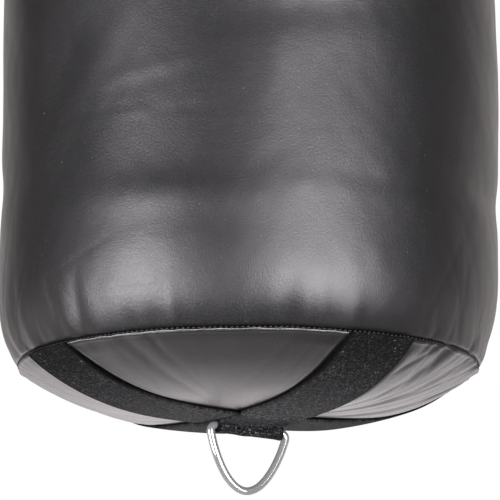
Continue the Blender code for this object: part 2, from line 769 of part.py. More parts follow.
def make_legs():
    """Four chain legs: links and an S-hook on the line from the master ring to each D-ring."""
    link = wire_curve("chain_link", link_points(), LINK_WIRE, True)
    hook = wire_curve("s_hook", hook_points(), HOOK_WIRE, False)
    centre = Vector((0.0, 0.0, MASTER_CENTRE))
    joints = LINKS_PER_LEG + 1
    for number, azimuth in enumerate(HANGER_AZIMUTHS, 1):
        _, point, end = leg_ends(azimuth)
        direction = (end - point).normalized()
        slack = ((end - point).length - LEG_REACH) / joints
        crown = point - direction * LINK_TO_MASTER
        outwards = (point - centre).normalized()
        start = square_to(Vector((0.0, 1.0, 0.0)).cross(outwards), direction)
        goal = square_to(Vector((-math.sin(azimuth), math.cos(azimuth), 0.0)), direction)
        total = math.atan2(start.cross(goal).dot(direction), start.dot(goal))
        total = (total + math.pi / 2) % math.pi - math.pi / 2
        twist = total / joints
        for index in range(LINKS_PER_LEG):
            turn = twist * (index + 1) + math.pi / 2 * index
            normal = Matrix.Rotation(turn, 3, direction) @ start
            middle = crown + direction * (LINK_LENGTH / 2 + index * (LINK_STEP + slack))
            matrix = frame_matrix(middle, direction.cross(normal), direction, normal)
            place(f"chain_{number}_link_{index + 1}", link, zinc_steel(), matrix)
        middle = end + direction * (HOOK_TO_RING - slack - HOOK_LENGTH / 2)
        place(f"s_hook_{number}", hook, zinc_steel(),
              frame_matrix(middle, direction.cross(goal), direction, goal))


def make_swivel():
    """Swivel: upper eye with its collar, washer, barrel and lower eye, and the master ring under them."""
    quarter = math.pi / 2
    upper = torus("swivel_upper_eye", EYE_RADIUS, EYE_WIRE, (0.0, 0.0, UPPER_EYE), (0.0, quarter, 0.0),
                  bright_steel(), 20)
    washer_top = BARREL_TOP - BARREL_ROOF - GAP
    collar_top = washer_top - WASHER_HEIGHT - GAP
    collar_foot = collar_top - COLLAR_HEIGHT
    stud_top = UPPER_EYE - EYE_RADIUS
    stud = [(0.0, stud_top), (STUD_RADIUS, stud_top), (STUD_RADIUS, collar_top), (COLLAR_RADIUS, collar_top),
            (COLLAR_RADIUS, collar_foot), (0.0, collar_foot)]
    combine(upper, turned("swivel_stud", stud, bright_steel(), steps=16), "UNION")

    bore = STUD_RADIUS + GAP
    washer = [(WASHER_RADIUS, washer_top), (WASHER_RADIUS, washer_top - WASHER_HEIGHT),
              (bore, washer_top - WASHER_HEIGHT), (bore, washer_top)]
    turned("swivel_thrust_washer", washer, zip_brass(), steps=16)

    roof = BARREL_TOP - BARREL_ROOF
    barrel = [(bore, BARREL_TOP), (BARREL_RADIUS - BARREL_CHAMFER, BARREL_TOP),
              (BARREL_RADIUS, BARREL_TOP - BARREL_CHAMFER), (BARREL_RADIUS, BARREL_FOOT + BARREL_CHAMFER),
              (BARREL_RADIUS - BARREL_CHAMFER, BARREL_FOOT), (BARREL_CAVITY_RADIUS, BARREL_FOOT),
              (BARREL_CAVITY_RADIUS, roof), (bore, roof)]
    turned("swivel_barrel", barrel, bright_steel(), steps=16)

    lower = torus("swivel_lower_eye", EYE_RADIUS, EYE_WIRE, (0.0, 0.0, LOWER_EYE), (0.0, quarter, 0.0),
                  bright_steel(), 20)
    plug_radius = BARREL_CAVITY_RADIUS - GAP
    plug = [(0.0, BARREL_FOOT + PLUG_HEIGHT), (plug_radius, BARREL_FOOT + PLUG_HEIGHT),
            (plug_radius, BARREL_FOOT), (EYE_WIRE / 2, BARREL_FOOT),
            (EYE_WIRE / 2, LOWER_EYE + EYE_RADIUS), (0.0, LOWER_EYE + EYE_RADIUS)]
    combine(lower, turned("swivel_plug", plug, bright_steel(), steps=16), "UNION")

    torus("master_ring", MASTER_RADIUS, MASTER_WIRE, (0.0, 0.0, MASTER_CENTRE), (quarter, 0.0, 0.0), zinc_steel())


def make_carabiner():
    """Carabiner body with a tongue at its hinge, the gate forked over it, and the pin."""
    side = CARABINER_HALF_WIDTH
    tongue_top = GATE_PIN_HEIGHT + TONGUE_RISE
    line = [(side, tongue_top)] + arc((0.0, LOWER_BEND), side, 0.0, -math.pi, 8)
    line += arc((0.0, UPPER_BEND), side, math.pi, 0.0, 8) + [(side, UPPER_BEND - GATE_NOSE_DROP)]
    curve = wire_curve("carabiner_body", [(x, 0.0, z) for x, z in line], CARABINER_WIRE, False, 2)
    body = curve_to_mesh(place("carabiner_body", curve, bright_steel()))
    shade(body.data)

    swing = math.hypot(GATE_RADIUS, GATE_END_BELOW_PIN) + GAP
    reach = CARABINER_WIRE
    for name, sign in (("tongue_side_front", -1.0), ("tongue_side_back", 1.0)):
        near, far = sorted((sign * TONGUE_WALL / 2, sign * CARABINER_WIRE))
        cutter = box_mesh(name, (side - reach, near, GATE_PIN_HEIGHT - swing),
                          (side + reach, far, tongue_top + reach))
        combine(body, place(name, cutter, bright_steel()), "DIFFERENCE")

    axis_y = CARABINER_WIRE
    bore = rod_mesh("gate_pin_bore", GATE_PIN_RADIUS + GAP, (side, -axis_y, GATE_PIN_HEIGHT),
                    (side, axis_y, GATE_PIN_HEIGHT), 12)
    bore_object = place("gate_pin_bore", bore, bright_steel())
    combine(body, bore_object, "DIFFERENCE")

    gate_mesh = rod_mesh("carabiner_gate", GATE_RADIUS, (side, 0.0, GATE_PIN_HEIGHT - GATE_END_BELOW_PIN),
                         (side, 0.0, GATE_TOP), 12)
    gate_mesh.transform(Matrix.Translation((-side, 0.0, -GATE_PIN_HEIGHT)))
    gate = place("carabiner_gate", gate_mesh, bright_steel(), Matrix.Translation((side, 0.0, GATE_PIN_HEIGHT)))
    shade(gate_mesh)
    slot_top = GATE_PIN_HEIGHT + math.hypot(CARABINER_WIRE / 2, TONGUE_RISE) + GAP
    slot = box_mesh("gate_slot", (side - reach, -TONGUE_WALL / 2 - GAP, GATE_PIN_HEIGHT - reach),
                    (side + reach, TONGUE_WALL / 2 + GAP, slot_top))
    combine(gate, place("gate_slot", slot, bright_steel()), "DIFFERENCE")
    combine(gate, bore_object, "DIFFERENCE")

    pin = rod_mesh("gate_pin", GATE_PIN_RADIUS, (side, -GATE_RADIUS, GATE_PIN_HEIGHT),
                   (side, GATE_RADIUS, GATE_PIN_HEIGHT), 12)
    place("gate_pin", pin, zinc_steel())


def make_zip():
    """Zip under the slit of the top panel: tapes, teeth, end stops, slider and pull tab."""
    reach = ZIP_HALF_LENGTH + TAPE_MARGIN
    panel_underside = TOP_SEAM + top_level(reach) - COVER_WALL
    tape_top = panel_underside - GAP
    tape_foot = tape_top - TAPE_WALL
    middle = (tape_top + tape_foot) / 2
    teeth_low, teeth_high = middle - TEETH_HEIGHT / 2, middle + TEETH_HEIGHT / 2
    teeth_near = TEETH_APART / 2
    teeth_far = teeth_near + TEETH_WIDTH
    half = ZIP_HALF_LENGTH
    for side, sign in (("left", 1.0), ("right", -1.0)):
        near, far = sorted((sign * (teeth_far + GAP), sign * (teeth_far + GAP + TAPE_WIDTH)))
        tape = box_mesh(f"zip_tape_{side}", (-reach, near, tape_foot), (reach, far, tape_top))
        place(f"zip_tape_{side}", tape, webbing())
        near, far = sorted((sign * teeth_near, sign * teeth_far))
        teeth = box_mesh(f"zip_teeth_{side}", (-half, near, teeth_low), (half, far, teeth_high))
        place(f"zip_teeth_{side}", teeth, zip_brass())

    for name, sign in (("zip_stop_open_end", -1.0), ("zip_stop_closed_end", 1.0)):
        near, far = sorted((sign * (half + GAP), sign * (half + GAP + STOP_LENGTH)))
        stop = box_mesh(name, (near, -teeth_far, teeth_low), (far, teeth_far, teeth_high))
        place(name, stop, zip_brass())

    x = half - SLIDER_LENGTH / 2 - GAP
    wing = ZIP_SLIT_HALF_WIDTH - GAP
    length = SLIDER_LENGTH / 2
    roof_low = teeth_high + GAP
    roof_high = roof_low + SLIDER_WALL
    floor_high = teeth_low - GAP
    side_outline = [(-length, floor_high - SLIDER_WALL), (length, floor_high - SLIDER_WALL),
                    (length, roof_high), (-length, roof_high)]
    start = Matrix.Translation((x, 0.0, 0.0))
    lowest = side_outline[0][1]
    block = box_mesh("zip_slider", (-length, -wing, lowest), (length, wing, roof_high))
    slider = place("zip_slider", block, zip_brass(), start)
    for side, sign in (("left", 1.0), ("right", -1.0)):
        near, far = sorted((sign * SLIDER_NECK / 2, sign * 2 * wing))
        channel = box_mesh(f"slider_channel_{side}", (-2 * length, near, floor_high), (2 * length, far, roof_low))
        combine(slider, place(f"slider_channel_{side}", channel, zip_brass(), start), "DIFFERENCE")

    bridge_half = length - SLIDER_WALL
    rise = SLIDER_BRIDGE_RISE
    wall = SLIDER_BRIDGE_WALL
    outside = [(-bridge_half, -wall), (bridge_half, -wall), (bridge_half, rise + wall), (-bridge_half, rise + wall)]
    inside = [(-bridge_half + wall, 0.0), (bridge_half - wall, 0.0), (bridge_half - wall, rise),
              (-bridge_half + wall, rise)]
    upright = Matrix.Translation((x, 0.0, roof_high)) @ Matrix.Rotation(math.pi / 2, 4, "X")
    bridge = place("slider_bridge", plate_curve("slider_bridge", [outside, inside], SLIDER_BRIDGE_WIDTH),
                   zip_brass(), upright)
    combine(slider, curve_to_mesh(bridge), "UNION")

    bar_radius = PULL_WALL / 2
    tab = [(bar_radius, -PULL_WIDTH / 2), (bar_radius, PULL_WIDTH / 2), (-PULL_LENGTH, PULL_WIDTH / 2),
           (-PULL_LENGTH, -PULL_WIDTH / 2)]
    window = [(-bar_radius, -PULL_WINDOW_WIDTH / 2), (-bar_radius, PULL_WINDOW_WIDTH / 2),
              (-bar_radius - PULL_WINDOW, PULL_WINDOW_WIDTH / 2),
              (-bar_radius - PULL_WINDOW, -PULL_WINDOW_WIDTH / 2)]
    hinge = Matrix.Translation((x, 0.0, roof_high + rise / 2))
    place("zip_pull", plate_curve("zip_pull", [tab, window], PULL_WALL), zip_brass(), hinge)


def pivot(name, height, members):
    """Put an empty on a joint's axis over the origin, and let it carry what turns there."""
    empty = bpy.data.objects.new(name, None)
    empty.location = (0.0, 0.0, height)
    collection(PARTS).objects.link(empty)
    back = Matrix.Translation((0.0, 0.0, -height))
    for item in members:
        item.parent = empty
        item.matrix_parent_inverse = back
    return empty


def make_pivots():
    """Three pivots under each other: the eye on the carabiner, the barrel on its stud, the ring on the lower eye."""
    pieces = {item.name: item for item in collection(PARTS).objects}
    upper = [pieces.pop("swivel_upper_eye")]
    lower = [pieces.pop(name) for name in ("swivel_barrel", "swivel_thrust_washer", "swivel_lower_eye")]
    for name in ("carabiner_body", "carabiner_gate", "gate_pin"):
        pieces.pop(name)
    bag = pivot("bag_pivot", LOWER_EYE_FOOT, list(pieces.values()))
    barrel = pivot("swivel_lower_pivot", BARREL_TOP, lower)
    eye = pivot("swivel_upper_pivot", CARABINER_FOOT, upper)
    for child, parent in ((bag, barrel), (barrel, eye)):
        child.parent = parent
        child.matrix_parent_inverse = Matrix.Translation(-parent.location)


def make_bag():
    """Make every piece of the bag."""
    clear_scene()
    make_carabiner()
    make_swivel()
    make_legs()
    make_hangers()
    make_cover()
    make_binding("top_seam_binding", TOP_SEAM)
    make_binding("bottom_seam_binding", BOTTOM_SEAM)
    make_filling()
    make_inner_strap()
    make_outer_strap()
    make_bottom_ring()
    make_zip()
    make_pivots()


make_bag()
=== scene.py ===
"""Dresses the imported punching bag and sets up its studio. Lengths are metres, +Z is up.

The angle of a point on the bag is counted from the side that faces the camera, to the right.
"""

import json
import math

import bmesh
import bpy
import numpy as np
from bpy.props import FloatProperty, FloatVectorProperty, IntProperty, PointerProperty
from bpy.types import Operator, Panel, PropertyGroup
from mathutils import Matrix, Vector


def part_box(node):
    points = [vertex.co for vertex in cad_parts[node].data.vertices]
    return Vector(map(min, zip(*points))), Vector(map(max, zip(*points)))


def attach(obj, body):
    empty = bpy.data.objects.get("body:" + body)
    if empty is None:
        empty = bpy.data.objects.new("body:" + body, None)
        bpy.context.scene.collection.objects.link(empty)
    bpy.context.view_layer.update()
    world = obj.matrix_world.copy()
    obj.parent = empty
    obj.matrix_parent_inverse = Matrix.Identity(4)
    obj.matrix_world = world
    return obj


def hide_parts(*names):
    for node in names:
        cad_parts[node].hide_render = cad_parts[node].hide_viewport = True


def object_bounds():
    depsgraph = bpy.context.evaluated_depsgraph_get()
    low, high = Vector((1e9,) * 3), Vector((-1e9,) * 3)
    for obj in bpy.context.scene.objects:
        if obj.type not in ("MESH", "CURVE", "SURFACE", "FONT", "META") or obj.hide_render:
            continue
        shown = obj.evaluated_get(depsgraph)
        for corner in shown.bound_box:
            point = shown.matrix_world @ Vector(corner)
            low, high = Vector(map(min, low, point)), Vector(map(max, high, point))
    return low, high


bl_info = {
    "name": "Punching Bag",
    "version": (1, 0, 0),
    "blender": (4, 5, 0),
    "location": "3D View > Sidebar > Punching Bag",
    "description": "Dresses a packed punching bag in leather, webbing and plated steel",
    "category": "Add Mesh",
}

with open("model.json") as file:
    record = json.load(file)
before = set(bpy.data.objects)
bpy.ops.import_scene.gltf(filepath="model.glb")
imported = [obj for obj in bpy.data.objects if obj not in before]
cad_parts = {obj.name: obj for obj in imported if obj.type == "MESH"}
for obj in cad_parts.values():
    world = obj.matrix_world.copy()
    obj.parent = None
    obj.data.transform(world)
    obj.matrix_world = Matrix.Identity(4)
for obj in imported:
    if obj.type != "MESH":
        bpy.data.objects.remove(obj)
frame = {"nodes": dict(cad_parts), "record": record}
CAD_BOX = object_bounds()

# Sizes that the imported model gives
COVER_LOW, COVER_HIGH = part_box("body_cover")
RADIUS = (COVER_HIGH.x - COVER_LOW.x) / 2
HEIGHT = COVER_HIGH.z - COVER_LOW.z
BOTTOM = COVER_LOW.z
TOP = COVER_HIGH.z
DOME_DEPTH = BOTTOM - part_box("bottom_panel")[0].z
CROWN_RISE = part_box("top_panel")[1].z - TOP

# Angle about Z of the side that faces the camera
FRONT = math.radians(-123.0)
# Depth of a panel's turned-in edge
FLANGE = 0.012
# Gap between webbing and what it is folded round or crosses, and lift of the straps off the bottom panel
STRAP_GAP = 0.0003
STRAP_LIFT = 0.0008
# Power of the radius by which the bottom panel's depth falls towards its seam, and half sizes of the zip's slit
DOME_POWER = 3.4
SLIT_X, SLIT_Y = 0.104, 0.0045
# Hangers: width of the webbing, how far the D-ring's bar stands above the seam, and the lean of the webbing there
HANGER_WIDTH, HANGER_RISE = 0.050, 0.016
HANGER_LEAN = math.radians(37.0)
# The D-ring: inner width, reach of its bow and radius of its corners, then how the bottom one hangs in its loop
RING_INNER, RING_REACH, RING_CORNER = 0.0514, 0.0437, 0.004
RING_TURN = math.radians(-8.0)
RING_LEAN = math.radians(3.0)
# The outer strap: radius of its bend beside the ring, run of its rise over the inner strap, width in the loop
LOOP_BEND, LOOP_RAMP, LOOP_WIDTH = 0.003, 0.009, 0.0486
# Wires, half lengths and bends of the chains, S-hooks, master ring and the swivel's eyes
LINK_WIRE, LINK_HALF, LINK_BEND = 0.006, 0.024, 0.009
HOOK_WIRE, HOOK_OFFSET, HOOK_BEND = 0.005, 0.013, 0.0085
MASTER_WIRE = 0.007
EYE_WIRE, EYE_RADIUS = 0.008, 0.012
# The photograph in pixels: its width, the camera's distance behind it, and how far below and left of its centre the
# middle of the bottom seam lies. Then the camera's distance from there in metres, and the angle at which it looks.
PHOTO_WIDTH, PHOTO_DISTANCE = 500.0, 2859.0
SEAM_BELOW, SEAM_LEFT = 118.5, 1.6
CAMERA_DISTANCE, CAMERA_RISE = 2.0, math.radians(-9.65)
# Height of the studio's floor, and half its side
FLOOR_LEVEL, FLOOR_REACH = CAD_BOX[0].z - 1.0, 30.0


# Blender's properties, with fewer words
def a_number(name, description, default, **more):
    return FloatProperty(name=name, description=description, default=default, **more)


def a_length(name, description, default):
    return a_number(name, description, default, unit="LENGTH")


def a_power(name, description, default):
    return a_number(name, description, default, unit="POWER")


def a_colour(name, description, *default):
    return FloatVectorProperty(name=name, description=description, default=default, subtype="COLOR")


class BagSizes(PropertyGroup):
    """Sizes of the sewn and bent pieces."""

    seam_inset: a_length("Seam inset", "How far the cover is drawn in at both seams", 0.0134)
    shoulder: a_length("Shoulder", "Height over which the cover is drawn in", 0.070)
    seam_roll: a_length("Seam roll", "Radius of the folded edges at a seam", 0.0019)
    relief: a_number("Dents", "Strength of the dents and bulges of the cover", 1.0, min=0.0, max=2.0)
    gathers: a_number("Gathers", "Strength of the gathers along the seams", 1.0, min=0.0, max=2.0)
    wall: a_length("Cover wall", "Thickness of the leather", 0.0015)
    webbing_width: a_length("Webbing width", "Width of the webbing", 0.051)
    webbing_wall: a_length("Webbing wall", "Thickness of the webbing", 0.0018)
    ring_wire: a_length("Ring wire", "Diameter of the D-rings' wire", 0.0058)
    stitch_pitch: a_length("Stitch pitch", "From one stitch of a seam to the next", 0.0036)
    around: IntProperty(name="Steps round", description="Steps of the cover's mesh round the bag", default=480,
                        min=120, max=1000)


class BagColours(PropertyGroup):
    """Colours of the finishes as linear values, and the power of the lamps."""

    leather: a_colour("Leather", "Synthetic leather", 0.0050, 0.0048, 0.0050)
    webbing: a_colour("Webbing", "Woven webbing", 0.0050, 0.0050, 0.0052)
    thread: a_colour("Thread", "Sewing thread", 0.012, 0.012, 0.012)
    bright_steel: a_colour("Bright steel", "Nickel plated steel", 0.25, 0.25, 0.252)
    zinc_steel: a_colour("Zinc steel", "Zinc plated steel", 0.56, 0.57, 0.59)
    zip_metal: a_colour("Zip metal", "Teeth and slider of the zip", 0.30, 0.27, 0.22)
    floor: a_colour("Floor", "Studio floor", 0.72, 0.72, 0.72)
    left_lamp: a_power("Left lamp", "Power of the left lamp", 82.0)
    right_lamp: a_power("Right lamp", "Power of the right lamp", 89.0)
    back_lamp: a_power("Back lamp", "Power of the low lamp behind the bag", 11.0)


class Value:
    """A socket of a node tree. Arithmetic on it adds Math nodes."""

    def __init__(self, nodes, socket):
        self.nodes = nodes
        self.socket = socket

    def math(self, operation, *others):
        return self.nodes.node("ShaderNodeMath", {"operation": operation}, dict(enumerate((self, *others))))

    def __add__(self, other):
        return self.math("ADD", other)

    __radd__ = __add__

    def __sub__(self, other):
        return self.math("SUBTRACT", other)

    def __rsub__(self, other):
        return (self * -1.0) + other

    def __mul__(self, other):
        return self.math("MULTIPLY", other)

    __rmul__ = __mul__

    def above(self, edge):
        return self.math("GREATER_THAN", edge)

    def between(self, low, high, start=0.0, end=1.0):
        """Go smoothly from start at low to end at high."""
        return self.nodes.node("ShaderNodeMapRange", {"interpolation_type": "SMOOTHSTEP"},
                               {"Value": self, "From Min": low, "From Max": high, "To Min": start, "To Max": end})


class Nodes:
    """Fills in a node tree."""

    def __init__(self, tree):
        self.tree = tree

    def put(self, socket, value):
        """Link a socket to a value, or set it to a constant. A colour may leave out its alpha."""
        if isinstance(value, Value):
            self.tree.links.new(value.socket, socket)
        elif hasattr(value, "__len__") and len(value) == 3 and len(socket.default_value) == 4:
            socket.default_value = (*value, 1.0)
        else:
            socket.default_value = value

    def node(self, kind, settings=None, sockets=None, output=0):
        """Add a node: its settings, then the values or links of its sockets. An output of None gives all of them."""
        made = self.tree.nodes.new(kind)
        for name, value in (settings or {}).items():
            setattr(made, name, value)
        for name, value in (sockets or {}).items():
            self.put(made.inputs[name], value)
        values = [Value(self, socket) for socket in made.outputs]
        return values if output is None else Value(self, made.outputs[output])

    def dot(self, where, direction):
        """How far a place lies along a direction."""
        return self.node("ShaderNodeVectorMath", {"operation": "DOT_PRODUCT"}, {0: where, 1: direction}, "Value")

    def ray(self, kind):
        """1 for rays of a kind, else 0."""
        return self.node("ShaderNodeLightPath", output=kind)

    def mix(self, share, first, second):
        """Mix two shaders."""
        return self.node("ShaderNodeMixShader", {}, {0: share, 1: first, 2: second})


class Finish(Nodes):
    """A material with one Principled shader, and the means to fill in its nodes."""

    def __init__(self, name, **sockets):
        self.material = bpy.data.materials.new(name)
        self.material.use_nodes = True
        super().__init__(self.material.node_tree)
        self.shader = self.tree.nodes["Principled BSDF"]
        self.set(**sockets)

    def set(self, **sockets):
        """Fill sockets of the shader: base_color is its Base Color, and so on."""
        for name, value in sockets.items():
            self.put(self.shader.inputs[name.replace("_", " ").title().replace("Ior", "IOR")], value)

    def place(self, kind="Object", scale=(1.0, 1.0, 1.0)):
        """The coordinates of the object or of its UV map, scaled."""
        where = self.node("ShaderNodeTexCoord", output=kind)
        return self.node("ShaderNodeMapping", {}, {"Vector": where, "Scale": scale})

    def parts(self, where):
        """The X, the Y and the Z of a place."""
        return self.node("ShaderNodeSeparateXYZ", {}, {"Vector": where}, None)

    def noise(self, where, scale, detail=2.0, roughness=0.5):
        return self.node("ShaderNodeTexNoise", {},
                         {"Vector": where, "Scale": scale, "Detail": detail, "Roughness": roughness})

    def cells(self, where, scale, output="Distance"):
        return self.node("ShaderNodeTexVoronoi", {}, {"Vector": where, "Scale": scale}, output)

    def specks(self, where, scale, size, blur, spared):
        """Round specks in the cells of a pattern, but for a share of the cells."""
        return (size - self.cells(where, scale)).between(0.0, blur) * self.cells(where, scale, "Color").above(spared)

    def blend(self, share, first, second):
        """Mix two colours."""
        return self.node("ShaderNodeMix", {"data_type": "RGBA"}, {0: share, 6: first, 7: second}, 2)

    def bump(self, height, distance, strength=1.0):
        self.set(normal=self.node("ShaderNodeBump", {},
                                  {"Height": height, "Distance": distance, "Strength": strength}))


def shades(colour, low, high):
    """The same colour darker and lighter."""
    return tuple(tuple(part * share for part in colour) for share in (low, high))


def leather_finish(colour):
    """Satin synthetic leather: fine grain, faint wrinkles and scuffs, specks of dust."""
    finish = Finish("synthetic_leather", specular_ior_level=0.5)
    where = finish.place()
    cloud = finish.noise(where, 9.0, 3.0)
    scuff = finish.noise(where, 60.0, 4.0, 0.65)
    grain = finish.noise(where, 740.0, 3.0, 0.8)
    specks = finish.specks(where, 140.0, 0.07, 0.05, 0.45) * cloud
    dark, light = shades(colour, 0.5, 1.5)
    tone = finish.blend(cloud * 0.3 + (grain - 0.5) * 2.4 + 0.35, dark, light)
    finish.set(base_color=finish.blend(specks * 0.5, tone, (0.30, 0.30, 0.29)),
               roughness=0.335 + 0.06 * scuff + 0.05 * cloud + 0.10 * (grain - 0.5))
    lines = finish.noise(finish.place(scale=(1.0, 1.0, 3.2)), 75.0, 3.0, 0.6)
    worn = cloud.between(0.45, 0.62)
    pores = finish.cells(where, 1100.0)
    finish.bump(pores * 0.5 + scuff * 0.7 + grain * 1.7 + lines * worn * 1.2, 0.00016, 0.65)
    return finish.material


def webbing_finish(colour):
    """Woven webbing on a UV map in metres: ribs across, warp threads along, painted shade along both edges and at the
    ends by the seam, and a painted sheen on the middle under the bag.
    """
    finish = Finish("woven_webbing", roughness=0.95, specular_ior_level=0.04, sheen_weight=0.006)
    where = finish.place("UV")
    flat = finish.place(scale=(1.0, 1.0, 0.0))
    reach = finish.node("ShaderNodeVectorMath", {"operation": "LENGTH"}, {0: flat}, "Value")
    level = finish.parts(finish.place())[2]
    # painted sheen: the webbing is lighter towards the middle of the bottom panel
    painted_sheen = reach.between(0.135, 0.030) * level.between(BOTTOM - DOME_DEPTH - 0.007, BOTTOM - DOME_DEPTH - 0.003)
    across, along, _ = finish.parts(where)
    ribs = (along * (2 * math.pi / 0.0016)).math("SINE") * 0.5 + 0.5
    warp = (across * (2 * math.pi / 0.0011)).math("SINE") * 0.5 + 0.5
    fuzz = finish.noise(where, 900.0, 4.0, 0.85)
    clumps = finish.noise(where, 350.0, 3.0, 0.7)
    patches = finish.noise(where, 90.0, 3.0)
    # painted shade: the webbing is darker along both edges, where it meets the panel
    painted_edge_shade = across.math("ABSOLUTE").between(0.0226, 0.0240)
    dark, light = shades(colour, 0.1, 6.0)
    mark = (fuzz - 0.5) * 2.6 + (clumps - 0.5) * 1.6 + ribs * warp * 0.35 + 0.28
    tone = finish.blend(mark.between(0.0, 1.2) * (0.5 + patches * 0.8) * (1.0 - 0.9 * painted_edge_shade), dark, light)
    fibres = finish.specks(where, 820.0, 0.42, 0.2, 0.55) * patches.between(0.25, 0.75)
    tone = finish.blend(fibres * (1.0 - 0.9 * painted_edge_shade), tone, (0.085, 0.085, 0.087))
    # the painted sheen lightens the webbing under the bag
    tone = finish.blend(mark.between(0.0, 1.1) * painted_sheen * 0.75, tone, (0.105, 0.105, 0.106))
    shaded = reach.between(0.115, 0.160) * level.between(BOTTOM + 0.004, BOTTOM - 0.002)
    tone = finish.blend(shaded * 0.6, tone, dark)
    lint = finish.specks(where, 330.0, 0.22, 0.1, 0.80)
    finish.set(base_color=finish.blend(lint * 0.35, tone, (0.22, 0.22, 0.22)))
    finish.bump(ribs * warp * 0.7 + fuzz * 1.6 + clumps, 0.0003, 1.0)
    return finish.material


def plated_finish(name, colour, roughness, wear, metallic):
    """Plated steel, with a faint orange peel and cloudy wear."""
    finish = Finish(name, metallic=metallic)
    where = finish.place()
    cloud = finish.noise(where, 140.0, 3.0)
    fine = finish.noise(where, 300.0, 1.0)
    dark, light = shades(colour, 1.0 - wear, 1.0 + wear * 0.3)
    finish.set(base_color=finish.blend(cloud, dark, light), roughness=roughness * 0.8 + cloud * roughness * 0.4)
    finish.bump(fine, 0.00003, 0.25)
    return finish.material


def spotted_finish(name, colour, tones, noise, bump, **sockets):
    """Thread, foam, cloth or shreds: spots of a darker and a lighter tone, which also stand out."""
    finish = Finish(name, **sockets)
    spots = finish.noise(finish.place(), *noise)
    dark, light = shades(colour, *tones)
    finish.set(base_color=finish.blend(spots, dark, light))
    finish.bump(spots, *bump)
    return finish.material


# Roughness, wear and metallic of the plated finishes, by the name of their slot
PLATES = {"bright_steel": (0.07, 0.05, 0.62), "zinc_steel": (0.28, 0.18, 0.9), "zip_metal": (0.34, 0.2, 0.9)}
# Colour of the pale cord that paints a highlight under the bottom seam, of the cloths and of what is inside the bag,
# and spots per metre
STUFFINGS = {"backing_cloth": ((0.22, 0.22, 0.215), 900.0), "grey_foam": ((0.30, 0.31, 0.33), 260.0),
             "sack_cloth": ((0.55, 0.52, 0.46), 500.0), "textile_shreds": ((0.34, 0.36, 0.40), 80.0)}
# The finish of each material slot
FINISHES = {"cover": "synthetic_leather", "webbing": "woven_webbing", "bright_steel": "bright_plate",
            "zinc_steel": "zinc_plate", "zip_metal": "zip_metal", "foam": "grey_foam", "sack": "sack_cloth",
            "filling": "textile_shreds"}


def finish_for(slot, key=None):
    """The material of a slot, or of another finish, made on first use."""
    key = key or FINISHES[slot]
    colours = bpy.context.scene.bag_colours
    found = bpy.data.materials.get(key)
    if found:
        return found
    if key == "synthetic_leather":
        return leather_finish(colours.leather)
    if key == "woven_webbing":
        return webbing_finish(colours.webbing)
    if key == "sewing_thread":
        return spotted_finish(key, colours.thread, (0.5, 2.2), (2500.0, 1.0), (0.0001, 0.5), roughness=0.7,
                              specular_ior_level=0.2)
    if key in STUFFINGS:
        colour, scale = STUFFINGS[key]
        return spotted_finish(key, colour, (0.6, 1.3), (scale, 4.0, 0.7), (0.001, 0.6), roughness=0.95)
    return plated_finish(key, getattr(colours, slot), *PLATES[slot])


def mesh_of(name, points, faces, corner_uv=None):
    """A closed mesh of points and faces, its doubles merged and its normals turned outwards."""
    mesh = bpy.data.meshes.new(name)
    mesh.from_pydata(np.asarray(points).reshape(-1, 3), [], np.asarray(faces))
    if corner_uv is not None:
        layer = mesh.uv_layers.new(name="UVMap")
        layer.data.foreach_set("uv", np.asarray(corner_uv, np.float32).ravel())
    shell = bmesh.new()
    shell.from_mesh(mesh)
    bmesh.ops.remove_doubles(shell, verts=shell.verts, dist=0.000002)
    bmesh.ops.dissolve_degenerate(shell, edges=shell.edges, dist=0.0000005)
    bmesh.ops.recalc_face_normals(shell, faces=shell.faces)
    shell.to_mesh(mesh)
    shell.free()
    return mesh


def grid(name, points, across, along, close_rows=False, close_columns=True):
    """A surface over rows and columns of points. Its UV map holds across for a column and along for a row."""
    rows, columns = points.shape[:2]
    down = np.arange(rows if close_rows else rows - 1)
    right = np.arange(columns if close_columns else columns - 1)
    i, j = np.meshgrid(down, right, indexing="ij")
    k, m = (i + 1) % rows, (j + 1) % columns
    faces = stacked(i * columns + j, k * columns + j, k * columns + m, i * columns + m).reshape(-1, 4)
    u = stacked(across[j], across[j], across[j + 1], across[j + 1])
    v = stacked(along[i], along[i + 1], along[i + 1], along[i])
    return mesh_of(name, points, faces, stacked(u, v))


def closed_tube(name, points):
    """A tube wall of rows of points, closed both ways, with a UV map in metres."""
    across = np.linspace(0.0, 2 * math.pi * RADIUS, points.shape[1] + 1)
    return grid(name, points, across, np.concatenate([path_length(points[:, 0]), [0.0]]), close_rows=True)


def add_panel(name, points, node):
    """Add a closed tube as a piece of the stuffed cover."""
    add_piece(name, closed_tube(name, points), "cover", node)


def add_piece(name, mesh, slot, node=None, body="bag", smooth=180.0, key=None):
    """Add a piece that rides on a body and may stand for a CAD node. Edges past smooth degrees are sharp."""
    mesh.materials.append(finish_for(slot, key))
    mesh.shade_smooth()
    if smooth < 180.0:
        mesh.set_sharp_from_angle(angle=math.radians(smooth))
    item = bpy.data.objects.new(name, mesh)
    bpy.context.scene.collection.objects.link(item)
    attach(item, body)
    if node:
        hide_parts(node)
    return item


def add_stitches(name, mesh):
    """Add stitches, which ride with the bag."""
    add_piece(name, mesh, "webbing", key="sewing_thread")


def stacked(*parts):
    """Coordinates side by side in a last axis, each stretched to the shape of all."""
    return np.stack(np.broadcast_arrays(*parts), -1)


def unit(vectors):
    """Vectors of length 1 in the same directions."""
    return vectors / np.maximum(np.linalg.norm(vectors, axis=-1, keepdims=True), 1e-12)


def beside(tangent):
    """Unit vectors of a plane, square to tangents, on their right."""
    return unit(stacked(tangent[:, 1], -tangent[:, 0]))


def full_turn(count, start=0.0):
    """Even angles round a whole turn, without its end."""
    return np.linspace(start, start + 2 * math.pi, count, endpoint=False)


